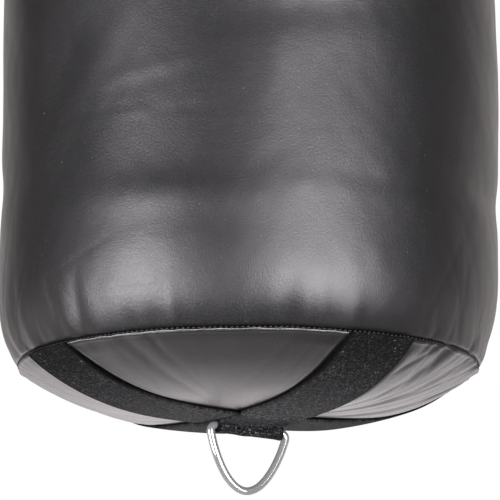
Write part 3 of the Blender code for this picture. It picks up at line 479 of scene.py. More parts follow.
def runs(*parts):
    """Runs of even steps, each (start, end, count), joined at their ends."""
    return np.concatenate([np.linspace(*part)[index > 0:] for index, part in enumerate(parts)])


def rotated(x, y, angle):
    """Coordinates of a plane, turned by an angle."""
    return x * np.cos(angle) - y * np.sin(angle), x * np.sin(angle) + y * np.cos(angle)


def seam_radius():
    """Radius of the seams at both ends of the cover."""
    return RADIUS - bpy.context.scene.bag_sizes.seam_inset


def wrap(angle):
    """Bring angles to within half a turn."""
    return (np.asarray(angle) + math.pi) % (2 * math.pi) - math.pi


def hump(value, width):
    """1 at 0, falling to nearly 0 at two widths: exp(-(value / width)^2)."""
    return np.exp(-(np.asarray(value) / width) ** 2)


def ease(value, low, high):
    """0 below low, 1 above high, and 3t^2 - 2t^3 between them."""
    share = np.clip((np.asarray(value) - low) / (high - low), 0.0, 1.0)
    return share * share * (3.0 - 2.0 * share)


def waves(angle, seed, low, high, height=0.0, climb=0.0):
    """A sum of cosines of low to high waves per turn, of random size and phase, that also vary with height."""
    random = np.random.default_rng(seed)
    total = 0.0
    for number in range(low, high + 1):
        phase, lean, size = random.uniform(0.0, 2 * math.pi), random.uniform(-climb, climb), random.uniform(0.4, 1.0)
        total = total + size * np.cos(number * angle + lean * height + phase)
    return total / math.sqrt(high - low + 1)


def pleats(angle, distance, seed, count, width, reach):
    """Narrow folds at random angles, each strongest at the seam: a sum of humps times exp(-distance / reach)."""
    random = np.random.default_rng(seed)
    total = np.zeros(np.broadcast(angle, distance).shape)
    for _ in range(count):
        where = random.uniform(-math.pi, math.pi)
        size, length, lean = random.uniform(0.2, 1.0), reach * random.uniform(0.5, 1.6), random.uniform(-4.0, 4.0)
        across = hump(wrap(angle - where - lean * distance), width * random.uniform(0.6, 1.5))
        total += size * across * np.exp(-distance / length)
    return total


def side_radius(height):
    """The cover's radius: its full radius less inset * (1 - distance to the seam / shoulder)^3.5 near a seam."""
    sizes = bpy.context.scene.bag_sizes
    near = np.minimum(height, HEIGHT - height)
    share = np.clip(1.0 - near / sizes.shoulder, 0.0, 1.0)
    return RADIUS - sizes.seam_inset * share ** 3.5


def seam_wander(angle):
    """How far a sewn seam strays up and down."""
    return 0.00035 * waves(angle, 5, 3, 15) + 0.00012 * waves(angle, 6, 30, 60)


# Dents of the cover: angle in degrees, height, its rise over a radian, depth, half length in degrees, half width
DENTS = (
    (-22.0, 0.0780, 0.0, 0.0015, 16.0, 0.0310),
    (-17.0, 0.0865, -0.0080, 0.00150, 20.0, 0.0135),
    (-20.0, 0.0560, -0.0040, 0.00085, 14.0, 0.0180),
    (-24.0, 0.0265, 0.006, -0.00028, 9.0, 0.0016),
    (-37.0, 0.055, 0.064, -0.00014, 12.0, 0.0024),
    (-33.0, 0.149, 0.004, -0.00018, 9.0, 0.0022),
    (-25.0, 0.1435, 0.0, 0.0002, 4.0, 0.0030),
    (-13.0, 0.143, -0.006, -0.0002, 7.0, 0.0030),
    (-23.0, 0.1720, 0.0265, 0.0002, 12.0, 0.0050),
    (-24.0, 0.1620, 0.0265, -0.0002, 12.0, 0.0070),
    (-44.0, 0.158, 0.190, 0.0006, 20.0, 0.0220),
    (-46.0, 0.172, 0.03, -0.0046, 13.0, 0.0680),
    (-72.0, 0.160, 0.0, -0.0022, 16.0, 0.0700),
    (15.0, 0.132, 0.004, -0.00007, 12.0, 0.0025),
    (6.0, 0.112, 0.090, -0.00018, 6.0, 0.0090),
    (33.0, 0.0985, -0.004, -0.00035, 12.0, 0.0075),
    (11.5, 0.093, 0.0, 0.0003, 4.0, 0.0080),
    (20.5, 0.093, 0.0, 0.0003, 4.0, 0.0080),
    (18.5, 0.172, 0.0, -0.0010, 10.0, 0.0480),
    (6.5, 0.185, 0.0, 0.0005, 4.0, 0.0400),
    (15.0, 0.048, 0.0, -0.0006, 9.0, 0.0300),
    (90.0, 0.195, 0.0, 0.0030, 34.0, 0.0750),
    (86.0, 0.010, 0.0, -0.0032, 32.0, 0.0300),
    (14.0, 0.212, 0.020, -0.0010, 22.0, 0.0140),
    (64.0, 0.112, 0.010, -0.0020, 18.0, 0.0120),
    (110.0, 0.118, 0.020, -0.0024, 30.0, 0.0150),
    (-105.0, 0.130, -0.020, -0.0024, 26.0, 0.0150),
    (165.0, 0.105, 0.010, -0.0022, 34.0, 0.0140),
    (40.0, 0.430, 0.020, -0.0017, 42.0, 0.0260),
    (-68.0, 0.490, -0.030, -0.0019, 46.0, 0.0340),
    (-35.0, 0.350, 0.030, -0.0011, 30.0, 0.0150),
    (148.0, 0.370, 0.030, -0.0019, 44.0, 0.0260),
    (-140.0, 0.600, 0.020, -0.0018, 42.0, 0.0320),
    (-150.0, 0.310, -0.020, -0.0013, 32.0, 0.0160),
    (104.0, 0.590, -0.025, -0.0016, 40.0, 0.0260),
    (2.0, 0.640, 0.010, -0.0016, 44.0, 0.0340),
    (78.0, 0.330, -0.030, -0.0012, 26.0, 0.0160),
)

# Gathers of the cover at its bottom seam: angle and half width in degrees, depth, height where it fades
GATHERS = (
    (-46.0, 2.4, 0.0011, 0.028), (-41.2, 1.6, -0.0010, 0.034), (-36.5, 2.6, 0.0006, 0.020),
    (-28.0, 2.0, -0.0011, 0.015), (-22.0, 2.4, -0.0010, 0.013), (-17.0, 1.5, 0.0008, 0.022),
    (-1.2, 0.9, 0.0004, 0.013), (3.0, 1.6, -0.0004, 0.012),
    (9.2, 2.6, -0.0022, 0.022), (14.2, 0.9, -0.0006, 0.017), (18.6, 1.2, -0.0009, 0.020),
    (24.0, 2.2, 0.0008, 0.020), (27.0, 1.8, -0.0005, 0.014), (-55.0, 2.0, -0.0008, 0.020),
    (-62.0, 1.6, 0.0008, 0.026), (-67.0, 1.6, -0.0010, 0.032), (-73.0, 1.6, 0.0010, 0.034),
    (-79.0, 1.8, -0.0010, 0.028),
)


def dents(angle, height):
    """The dents above: each is a hump along the cover times a hump across its own line."""
    total = np.zeros(np.broadcast(angle, height).shape)
    for where, level, rise, depth, length, width in DENTS:
        off = wrap(angle - math.radians(where))
        total += depth * hump(off, math.radians(length)) * hump(height - level - rise * off, width)
    return total


def seam_gathers(angle, height):
    """The gathers above: each is a hump across its own angle that fades with height."""
    total = np.zeros(np.broadcast(angle, height).shape)
    for where, width, depth, reach in GATHERS:
        total += depth * hump(wrap(angle - math.radians(where)), math.radians(width)) * hump(height, reach)
    return total


def cover_relief(angle, height):
    """How far the stuffed cover stands out from a plain tube: slow waves, dents, and pleats at both seams.

    The waves are calm near the front of the bottom seam, broad folds come in above, and both end at the seams.
    """
    sizes = bpy.context.scene.bag_sizes
    calm = 1.0 - 0.6 * hump(wrap(angle), math.radians(45.0)) * hump(height, 0.26)
    slow = 0.0004 * waves(angle, 1, 2, 7, height, 26.0) + 0.00022 * calm * waves(angle, 2, 6, 18, height, 95.0)
    slow = slow + 0.00007 * calm * waves(angle, 4, 34, 62, height, 330.0)
    higher = ease(height, 0.24, 0.40)
    folds = 0.0009 * waves(angle, 3, 1, 5, height, 45.0) * higher
    bottom_pleats = pleats(angle, height, 11, 70, 0.022, 0.013)
    top_pleats = pleats(angle, HEIGHT - height, 12, 46, 0.030, 0.016)
    side = 0.15 + 1.0 * ease(np.abs(wrap(angle)), math.radians(38.0), math.radians(50.0))
    rim_pleats = pleats(angle, height, 13, 90, 0.015, 0.034) * ease(side, 0.2, 1.1)
    gathers = (seam_gathers(angle, height) - 0.0009 * side * bottom_pleats - 0.0007 * rim_pleats
               - 0.0010 * top_pleats)
    held = ease(np.minimum(height, HEIGHT - height), 0.0, 0.02)
    return sizes.relief * (slow + dents(angle, height) + folds) * held + sizes.gathers * gathers


def hanger_zone(angle, height):
    """1 where a hanger strap is sewn on, so that the cover lies plain there."""
    turn = wrap(angle + FRONT)
    quarter = np.abs(wrap(4.0 * (turn - math.pi / 4))) / 4.0
    return (1.0 - ease(quarter * RADIUS, 0.026, 0.040)) * ease(height, HEIGHT - 0.170, HEIGHT - 0.155)


def around_bag(angle, radius, height):
    """Points at angles from the front, radii and heights."""
    turn = angle + FRONT
    return stacked(radius * np.cos(turn), radius * np.sin(turn), height)


def path_length(points):
    """How far along a line each of its points lies."""
    steps = np.linalg.norm(np.diff(points, axis=0), axis=-1)
    return np.concatenate([[0.0], np.cumsum(steps)])


def cover_heights():
    """Heights of the cover's rows over the bottom seam: close together where the camera is near."""
    roll = bpy.context.scene.bag_sizes.seam_roll
    low = roll * (1.0 - np.cos(np.linspace(0.15, math.pi / 2, 5)))
    middle = runs((roll, 0.060, 34), (0.060, 0.240, 62), (0.240, HEIGHT - 0.060, 54))
    high = HEIGHT - np.linspace(roll, 0.060, 22)[::-1]
    return np.concatenate([low, middle[1:], high[1:], HEIGHT - low[::-1][1:]])


def stuffed_radius(angle, height):
    """The cover's outer radius with its relief, plain under the hanger straps."""
    return side_radius(height) + cover_relief(angle, height) * (1.0 - hanger_zone(angle, height))


def cover_points():
    """The cover's outer side, its folded edges and its inner side, row by row, as one closed tube wall.

    Each point stands at radius(height) + relief(angle, height), less a quarter-round roll at both seams. The
    inner side follows it, one wall deeper.
    """
    sizes = bpy.context.scene.bag_sizes
    angle = full_turn(sizes.around, -math.pi)[None, :]
    height = cover_heights()[:, None]
    near = np.minimum(height, HEIGHT - height)
    tuck = sizes.seam_roll - np.sqrt(np.clip(sizes.seam_roll ** 2 - (sizes.seam_roll - near) ** 2, 0.0, None))
    tuck = np.where(near < sizes.seam_roll, tuck, 0.0)
    wander = seam_wander(angle)
    level = BOTTOM + height + (wander + 0.0012) * hump(near, 0.012)
    outer = around_bag(angle, stuffed_radius(angle, height) - tuck, level)
    flange = seam_radius() - FLANGE
    top_edge = around_bag(angle, flange, TOP + wander - 0.0001)
    bottom_edge = around_bag(angle, flange, BOTTOM + wander + 0.0001)
    deep = height[(near > sizes.wall + 0.0005).ravel()][::-5]
    deep = np.concatenate([[[HEIGHT - sizes.wall]], deep, [[sizes.wall]]])
    inner = around_bag(angle, stuffed_radius(angle, deep) - sizes.wall, BOTTOM + deep)
    turned_in = around_bag(angle, flange, BOTTOM + deep[[0, -1]])
    return np.concatenate([bottom_edge, outer, top_edge, turned_in[:1], inner, turned_in[1:]], 0)


def jacket_points():
    """The foam jacket: its outer side follows the cover's inner side, and its bore is round."""
    sizes = bpy.context.scene.bag_sizes
    low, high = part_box("foam_jacket")
    angle = full_turn(240, -math.pi)[None, :]
    height = runs((low.z, low.z + 0.25, 60), (low.z + 0.25, high.z, 60))[:, None]
    outer = around_bag(angle, stuffed_radius(angle, height - BOTTOM) - sizes.wall - 0.0003, height)
    bore = around_bag(angle, RADIUS - sizes.wall - 0.0183, height[[-1, 0]])
    return np.concatenate([outer, bore], 0)


def dome_level(radius):
    """Height of the bottom panel at a radius, under its seam: -depth * (1 - (radius / seam radius)^3.4)."""
    seam = seam_radius()
    return -DOME_DEPTH * (1.0 - (np.minimum(radius, seam) / seam) ** DOME_POWER)


def on_dome(x, y, lift):
    """Points off the bottom panel by lift, along its normal."""
    seam = seam_radius()
    radius = np.minimum(np.hypot(x, y), seam)
    slope = DOME_DEPTH * DOME_POWER * (radius / seam) ** (DOME_POWER - 1.0) / seam
    share = slope / np.maximum(np.hypot(x, y), 0.00001)
    normal = unit(stacked(share * x, share * y, -np.ones_like(radius)))
    return stacked(x, y, BOTTOM + dome_level(radius)) + normal * np.asarray(lift)[..., None]


def dome_relief(angle, radius):
    """How far the bottom panel stands out: gathers at the seam, and soft rolls beside the straps."""
    sizes = bpy.context.scene.bag_sizes
    seam = seam_radius()
    turn = angle + FRONT
    x, y = radius * np.cos(turn), radius * np.sin(turn)
    off = np.minimum(np.abs(x), np.abs(y)) - sizes.webbing_width / 2
    free = ease(off, 0.0012, 0.010)
    roll = 0.0014 * ease(off, 0.0008, 0.0045) * hump(off, 0.026) - 0.0004 * hump(off - 0.0002, 0.0008)
    roll = roll * ease(seam - radius, 0.001, 0.012) * ease(radius, 0.055, 0.105)
    right = ease(angle, math.radians(41.0), math.radians(50.0))
    left = ease(-angle, math.radians(66.0), math.radians(74.0))
    strong = 0.42 + 1.4 * right + 0.9 * left
    folds = pleats(angle, seam - radius, 21, 110, 0.016, 0.032)
    long_folds = pleats(angle, seam - radius, 22, 34, 0.036, 0.070)
    gathers = -(0.0006 * folds + 0.0013 * long_folds) * strong
    slow = 0.0004 * waves(angle, 23, 2, 6) * ease(radius, 0.02, 0.08)
    return (sizes.gathers * gathers + slow) * free + roll


def dome_points():
    """The bottom panel: its folded edge, its domed face out to the pole, and its inner face back."""
    sizes = bpy.context.scene.bag_sizes
    seam = seam_radius()
    angle = full_turn(sizes.around, -math.pi)[None, :]
    turn = angle + FRONT
    shares = runs((1.0, 0.86, 26), (0.86, 0.30, 46), (0.30, 0.0, 12))
    radius = seam * shares[:, None]
    lift = dome_relief(angle, radius)
    edge = seam - radius
    lip = 0.0004 * hump(edge - 0.0011, 0.0010)
    tuck = 0.0014 * hump(edge, 0.0006)
    face = on_dome(radius * np.cos(turn), radius * np.sin(turn), lift + lip - tuck)
    wander = seam_wander(angle)
    face[..., 2] += (wander - 0.0012) * hump(edge, 0.012)
    flange = around_bag(angle, seam - FLANGE, BOTTOM + wander - 0.0006)
    lips = around_bag(angle, seam - 0.0030, BOTTOM + wander - 0.0007)
    back_radius = (seam * np.array([0.90, 0.75, 0.5, 0.25, 0.0]))[:, None]
    back = on_dome(back_radius * np.cos(turn), back_radius * np.sin(turn), -sizes.wall - 0.002)
    return np.concatenate([flange, lips, face, back[::-1]], 0)


def strap_mesh(name, base, normal, wall, width):
    """A strap with rounded edges over its inner face: a closed loop of points round each cross-section.

    Its thickness on both sides of the middle is wall / 2 * sqrt(1 - t^2), where t runs from 0 to 1 over the
    last stretch before an edge.
    """
    columns = base.shape[1]
    share = np.abs(np.linspace(-1.0, 1.0, columns))
    start = 1.0 - wall / width
    half = wall / 2 * np.sqrt(np.clip(1.0 - np.clip((share - start) / (1.0 - start), 0.0, 1.0) ** 2, 0.0, None))
    ends = np.ones(base.shape[0])
    ends[[0, -1]] = 0.0
    half = half[None, :] * ends[:, None]
    outer = base + normal * (wall / 2 + half)[..., None]
    inner = base + normal * (wall / 2 - half)[..., None]
    points = np.concatenate([outer, inner[:, -2:0:-1]], 1)
    middle = base[base.shape[0] // 2]
    across = path_length(middle) - width / 2
    across = np.concatenate([across, across[-2::-1]])
    return grid(name, points, across, path_length(base[:, columns // 2]))


def surface_normals(points, towards):
    """Unit normals of a sheet of points, on the side of a direction at its first row."""
    normal = unit(np.cross(np.gradient(points, axis=0), np.gradient(points, axis=1)))
    return normal if (normal[0] @ np.asarray(towards)).mean() > 0 else -normal


def edge_shares(columns, width, wall):
    """Places across a strap from -1 to 1, closer together at its edges."""
    start = 1.0 - wall / width
    bend = 1.0 - (1.0 - start) * (1.0 - np.sin(np.linspace(0.0, math.pi / 2, 4)))
    flat = np.linspace(-start, start, columns - 6)
    return np.concatenate([-bend[:0:-1], flat, bend[1:]])


def inner_strap_points():
    """The strap along X: points of the bottom panel, from seam to seam, lifted clear of it."""
    sizes = bpy.context.scene.bag_sizes
    seam = seam_radius()
    share = edge_shares(25, sizes.webbing_width, sizes.webbing_wall)[None, :]
    station = np.sin(np.linspace(-math.pi / 2, math.pi / 2, 150))[:, None]
    y = share * sizes.webbing_width / 2
    x = station * np.sqrt(seam ** 2 - y ** 2)
    lift = STRAP_LIFT + 0.00018 * np.sin(x * 75.0 + 1.0) * share
    base = on_dome(x, y, lift)
    return base, surface_normals(base, (0.0, 0.0, -1.0))


def ring_depth():
    """How far the bottom ring's bar hangs under the bottom seam."""
    sizes = bpy.context.scene.bag_sizes
    half = RING_INNER / 2 + sizes.ring_wire / 2
    return (DOME_DEPTH + STRAP_LIFT + sizes.webbing_wall + STRAP_GAP + sizes.ring_wire / 2
            + (half + sizes.ring_wire / 2) * math.sin(RING_LEAN))


def ring_place(weight, points):
    """Lean and turn points of the bottom ring's own frame by a share of its lean and turn, and hang them."""
    x, y, z = np.moveaxis(points, -1, 0)
    z, x = rotated(z, x, RING_LEAN * weight)
    return stacked(*rotated(x, y, RING_TURN * weight), z + BOTTOM - ring_depth())


def outer_strap_points():
    """The strap along Y, over the other one, folded down round the bar of the ring.

    Each half is an arm on the bottom panel, whose lift eases from the panel up over the inner strap, a quarter
    bend down beside the ring, and a quarter turn under its bar. The other half mirrors it.
    """
    sizes = bpy.context.scene.bag_sizes
    seam = seam_radius()
    share = edge_shares(25, sizes.webbing_width, sizes.webbing_wall)[None, :]
    low, high = STRAP_LIFT, STRAP_LIFT + sizes.webbing_wall + STRAP_GAP
    hold = sizes.ring_wire / 2 + STRAP_GAP
    turn_in = hold + LOOP_BEND
    flat = sizes.webbing_width / 2
    ramp = flat + LOOP_RAMP
    arm_top = ring_depth() - DOME_DEPTH - high
    x = share * sizes.webbing_width / 2
    edge = np.sqrt(seam ** 2 - x ** 2)
    part = np.sin(np.linspace(math.pi / 2, 0.0, 60))[:, None]
    reach = np.concatenate([ramp + (edge - ramp) * part, np.linspace(ramp, turn_in, 34)[1:-1, None] + 0.0 * x], 0)
    lift = high + (low - high) * ease(reach, flat, ramp)
    crease = ease(reach, 0.010, 0.020) * (1.0 - ease(reach, 0.036, 0.052))
    lift = lift + crease * 0.0016 * (hump(share - 0.55 - 18.0 * (reach - 0.026), 0.13)
                                     + hump(share - 0.50 + 22.0 * (reach - 0.024), 0.12)) * (share > -0.2)
    held = (1.0 - LOOP_WIDTH / sizes.webbing_width) * (1.0 - ease(reach, 0.008, 0.024))
    arm = on_dome(x * (1.0 - held), -reach, lift)
    turn = np.linspace(math.pi / 2, 0.0, 9)[:, None]
    bend = stacked(-turn_in + LOOP_BEND * np.cos(turn), arm_top - LOOP_BEND + LOOP_BEND * np.sin(turn))
    turn = np.linspace(math.pi, 1.5 * math.pi, 10)[:, None]
    under = stacked(hold * np.cos(turn), hold * np.sin(turn))
    line = np.concatenate([bend, under], 0)
    weight = np.sin(math.pi / 2 * np.clip(np.arange(len(line)) / (len(bend) - 1), 0.0, 1.0))[:, None] ** 2
    width = LOOP_WIDTH + (0.0498 - LOOP_WIDTH) * weight
    sag = 0.0007 * (np.cos(share * 5.2 + 0.8) - 0.4) * weight ** 2
    fold = stacked(share * width / 2, line[..., 0], line[..., 1] - sag.clip(0.0))
    mirror = np.array([1.0, -1.0, 1.0])
    half, other = ring_place(weight, fold), ring_place(weight, fold * mirror)
    base = np.concatenate([arm, half, other[-2::-1], (arm * mirror)[::-1]], 0)
    return base, surface_normals(base, (0.0, 0.0, -1.0))


def bent_wire(name, outline, place, wire, closed=True, sides=20):
    """A round wire along an outline in a plane: each point plus a circle square to the line there.

    place is a 4 by 4 matrix that brings the outline's plane to the bag.
    """
    if closed:
        tangent = np.roll(outline, -1, 0) - np.roll(outline, 1, 0)
    else:
        tangent = np.gradient(outline, axis=0)
    side = beside(tangent)
    turn = full_turn(sides)
    size = np.full(len(outline), wire / 2)
    if not closed:
        outline = np.concatenate([outline[:1], outline, outline[-1:]])
        side = np.concatenate([side[:1], side, side[-1:]])
        size = np.concatenate([[0.0], size, [0.0]])
    flat = outline[:, None, :] + side[:, None, :] * (np.cos(turn)[None, :] * size[:, None])[..., None]
    points = np.concatenate([flat, (np.sin(turn)[None, :] * size[:, None])[..., None]], -1)
    matrix = np.asarray(place)
    points = points @ matrix[:3, :3].T + matrix[:3, 3]
    along = path_length(np.concatenate([outline, outline[:1]]))
    return grid(name, points, np.linspace(0.0, math.pi * wire, sides + 1), along, close_rows=closed)


def arc(centre, radius, start, end, count):
    """Points of a round arc in a plane."""
    angle = np.linspace(start, end, count)
    return stacked(centre[0] + radius * np.cos(angle), centre[1] + radius * np.sin(angle))


def round_ring(name, middle, radius, axis, wire, steps):
    """A round wire bent to a ring round a place, its plane turned up about an axis."""
    outline = arc((0.0, 0.0), radius, 0.0, 2 * math.pi, steps + 1)[:-1]
    place = Matrix.Translation(middle) @ Matrix.Rotation(math.pi / 2, 4, axis)
    return bent_wire(name, outline, place, wire, sides=24)


def ring_outline(wire):
    """A D-ring: a straight bar along X, rounded corners, and the bow (x / half)^2 + (depth / bow)^1.2 = 1."""
    half, reach, corner = RING_INNER / 2 + wire / 2, RING_REACH, RING_CORNER
    angle = np.linspace(0.0, math.pi / 2, 34)[1:]
    bow = stacked(half * np.cos(angle), -corner - (reach - corner) * np.sin(angle) ** (2 / 1.2))
    right = np.concatenate([arc((half - corner, -corner), corner, math.pi / 2, 0.0, 9), bow])
    bar = stacked(np.linspace(-half + corner, half - corner, 24)[1:-1], np.zeros(22))
    left = right[-2::-1] * np.array([-1.0, 1.0])
    return np.concatenate([right, left, bar])


def capsule(length, radius, sides=6, rings=4):
    """A short round bead along Y, closed by a pole at each end: its points and its triangles."""
    place = np.linspace(-1.0, 1.0, rings + 2)[1:-1]
    size = radius * (1.0 - place ** 4) ** 0.5
    turn = full_turn(sides)
    size, place = size[:, None], place[:, None] * length / 2
    body = stacked(size * np.cos(turn), place, size * np.sin(turn)).reshape(-1, 3)
    points = np.concatenate([body, [[0.0, -length / 2, 0.0], [0.0, length / 2, 0.0]]])
    i, j = np.meshgrid(np.arange(rings - 1), np.arange(sides), indexing="ij")
    a, b = i * sides + j, i * sides + (j + 1) % sides
    quads = stacked(a, b, b + sides, a + sides).reshape(-1, 4)
    triangles = np.concatenate([quads[:, [0, 1, 2]], quads[:, [0, 2, 3]]])
    edge = np.arange(sides)
    following = (edge + 1) % sides
    last = (rings - 1) * sides
    low = stacked(len(body), following, edge)
    high = stacked(len(body) + 1, edge + last, following + last)
    return points, np.concatenate([triangles, low, high])


def repeated(name, shape, places, axes):
    """Copies of one small shape: places is (count, 3), and axes (count, 3, 3) has its X, Y and Z as rows."""
    points, faces = shape
    moved = np.einsum("vi,nij->nvj", points, axes) + places[:, None, :]
    offsets = (np.arange(len(places)) * len(points))[:, None, None]
    return mesh_of(name, moved, (faces[None] + offsets).reshape(-1, faces.shape[1]))


def stitch_axes(along, out):
    """Axes of stitches that run along one direction and lie on a surface with the normal out."""
    along = unit(along)
    side = unit(np.cross(along, out))
    return np.stack([side, along, np.cross(side, along)], 1)


def seam_stitches(name, level, sign):
    """Stitches in the groove of a round seam, one after another round the bag."""
    sizes = bpy.context.scene.bag_sizes
    seam = seam_radius()
    count = int(2 * math.pi * seam / sizes.stitch_pitch)
    angle = full_turn(count, -math.pi)
    wander = seam_wander(angle)
    places = around_bag(angle, seam - 0.0009, level + wander - sign * 0.0001)
    out = around_bag(angle, 1.0, 0.0)
    along = stacked(-out[:, 1], out[:, 0], 0.12)
    return repeated(name, capsule(sizes.stitch_pitch * 0.66, 0.0005), places, stitch_axes(along, out))


def turned_piece(name, profile, loop=False, sides=56):
    """A turned body: rows of (radius, height) spun round Z, from the axis to the axis or in a loop."""
    profile = np.asarray(profile)
    turn = full_turn(sides)
    points = stacked(profile[:, :1] * np.cos(turn), profile[:, :1] * np.sin(turn), profile[:, 1:])
    along = path_length(np.concatenate([profile, profile[:1]]))
    return grid(name, points, np.linspace(0.0, 0.1, sides + 1), along, close_rows=loop)


def slab(name, outline, layers, window=None):
    """A flat plate with rounded rims: the outline grown and raised by each (growth, height) of layers.

    Without a window both faces close at the middle, else the same layers shrink the window, back to the start.
    """
    def grown(line, amount):
        return line + amount * beside(np.roll(line, -1, 0) - np.roll(line, 1, 0))

    rows = [np.c_[grown(outline, growth), np.full(len(outline), height)] for growth, height in layers]
    if window is None:
        middle = outline.mean(0)
        foot, head = (np.tile((*middle, layers[index][1]), (len(outline), 1)) for index in (0, -1))
        rows = [foot, *rows, head]
    else:
        rows += [np.c_[grown(window, -growth), np.full(len(window), height)] for growth, height in layers[::-1]]
    points = np.stack(rows)
    return grid(name, points, np.linspace(0.0, 0.1, len(outline) + 1), np.linspace(0.0, 0.01, len(rows) + 1),
                close_rows=window is not None)


def bevelled(low, high, bevel):
    """Layers of a slab from low to high with bevelled rims."""
    return [(-bevel, low), (0.0, low + bevel), (0.0, high - bevel), (-bevel, high)]


def rounded(half_x, half_y, power=5.0, count=48, centre=(0.0, 0.0)):
    """A rounded rectangle: |x / half_x|^power + |y / half_y|^power = 1, with even steps of its angle."""
    turn = full_turn(count)
    x = half_x * np.sign(np.cos(turn)) * np.abs(np.cos(turn)) ** (2 / power)
    y = half_y * np.sign(np.sin(turn)) * np.abs(np.sin(turn)) ** (2 / power)
    return stacked(x + centre[0], y + centre[1])


def fitted(node, outline, wire):
    """The placement that brings a plane outline onto the round wire of a CAD node.

    It starts from the principal axes of both, in all four ways, and then moves the outline again and again by
    the rotation that best brings its nearest points to the middle of the wire.
    """
    mesh = frame["nodes"][node].data
    cloud = np.empty(len(mesh.vertices) * 3)
    mesh.vertices.foreach_get("co", cloud)
    cloud = cloud.reshape(-1, 3)
    flat = np.c_[outline, np.zeros(len(outline))]

    def axes_of(points):
        axes = np.linalg.svd(points - points.mean(0), full_matrices=False)[2]
        axes[2] = np.cross(axes[0], axes[1])
        spread = (points - points.mean(0)) @ axes.T
        return axes, points.mean(0) + (spread.max(0) + spread.min(0)) / 2 @ axes

    (own, own_middle), (theirs, their_middle) = axes_of(flat), axes_of(cloud)
    best = None
    for signs in ((1, 1, 1), (1, -1, -1), (-1, 1, -1), (-1, -1, 1)):
        turn = own.T @ (np.array(signs)[:, None] * theirs)
        shift = their_middle - own_middle @ turn
        for _ in range(25):
            placed = flat @ turn + shift
            off = cloud[:, None] - placed[None]
            reach = np.linalg.norm(off, axis=-1)
            near = reach.argmin(1)
            gap = off[np.arange(len(cloud)), near]
            size = np.linalg.norm(gap, axis=1, keepdims=True)
            goal = cloud - gap / np.maximum(size, 1e-9) * wire / 2
            source = flat[near]
            left, _, right = np.linalg.svd((source - source.mean(0)).T @ (goal - goal.mean(0)))
            turn = left @ np.diag([1.0, 1.0, np.sign(np.linalg.det(left @ right))]) @ right
            shift = goal.mean(0) - source.mean(0) @ turn
        miss = np.abs(size - wire / 2).mean()
        if best is None or miss < best[0]:
            best = miss, turn, shift
    if best[0] > 0.0006:
        raise RuntimeError(f"no outline fits {node}: {best[0]:.5f} m off")
    place = np.eye(4)
    place[:3, :3], place[:3, 3] = best[1].T, best[2]
    return place


def link_outline():
    """A chain link, long in Y: two half circles joined by straights."""
    half = LINK_HALF - LINK_BEND
    upper = arc((0.0, half), LINK_BEND, 0.0, math.pi, 24)
    return np.concatenate([upper, arc((0.0, -half), LINK_BEND, math.pi, 2 * math.pi, 24)])


def hook_outline():
    """A closed S-hook, long in Y: two bends joined by the line that touches both."""
    end = math.pi + math.asin(HOOK_BEND / HOOK_OFFSET)
    upper = arc((0.0, HOOK_OFFSET), HOOK_BEND, -math.radians(62.0), end, 40)
    return np.concatenate([upper, -upper[::-1]])


def hanger_points():
    """A hanger in its own frame (out from the axis, along the seam, up): webbing folded round a bar.

    Two plies lie on the cover, bent to its roundness, rise past the top seam and meet in an eye of 290 degrees.
    """
    sizes = bpy.context.scene.bag_sizes
    wall, gap = sizes.webbing_wall, STRAP_GAP
    along = np.array([-math.sin(HANGER_LEAN), math.cos(HANGER_LEAN)])
    outward = np.array([math.cos(HANGER_LEAN), math.sin(HANGER_LEAN)])
    seam = np.array([seam_radius(), 0.0])
    bar = seam + along * HANGER_RISE + outward * (gap * 1.5 + wall)
    level = runs((0.150, sizes.shoulder, 14), (sizes.shoulder, 0.0, 24))
    tip = np.linspace(0.0, HANGER_RISE / 3, 5)[1:, None] * along + seam
    side = np.concatenate([stacked(side_radius(level), -level), tip])
    normal = beside(np.gradient(side, axis=0))
    normal *= np.sign(normal[:, :1])
    turn = np.radians(np.linspace(-145.0, 145.0, 31))[:, None]
    reach = sizes.ring_wire / 2 + gap
    eye = bar + along * reach * np.cos(turn) + outward * reach * np.sin(turn)
    near = side + normal * (gap + wall)
    far = side + normal * (2 * gap + wall)
    line = np.concatenate([near, eye, far[::-1]])
    y = edge_shares(21, HANGER_WIDTH, wall)[None, :] * HANGER_WIDTH / 2
    round_off = line[:, :1] - np.sqrt(line[:, :1] ** 2 - y ** 2)
    held = 1.0 - ease(line[:, 1:], -0.004, 0.006)
    base = stacked(line[:, :1] - round_off * held, y, line[:, 1:])
    return base, surface_normals(base, (-1.0, 0.0, 0.0))


def placed(points, turn, level):
    """Points of a hanger's frame, brought to the angle of its strap and the level of the top seam."""
    x, y, z = np.moveaxis(points, -1, 0)
    return stacked(*rotated(x, y, turn), z + level)


def dashes(line, pitch):
    """Even places along a line of points, and its direction there."""
    length = path_length(line)
    at = np.arange(pitch / 2, length[-1], pitch)
    middle, ahead = (stacked(*(np.interp(place, length, column) for column in line.T))
                     for place in (at, at + pitch / 4))
    return middle, ahead - middle


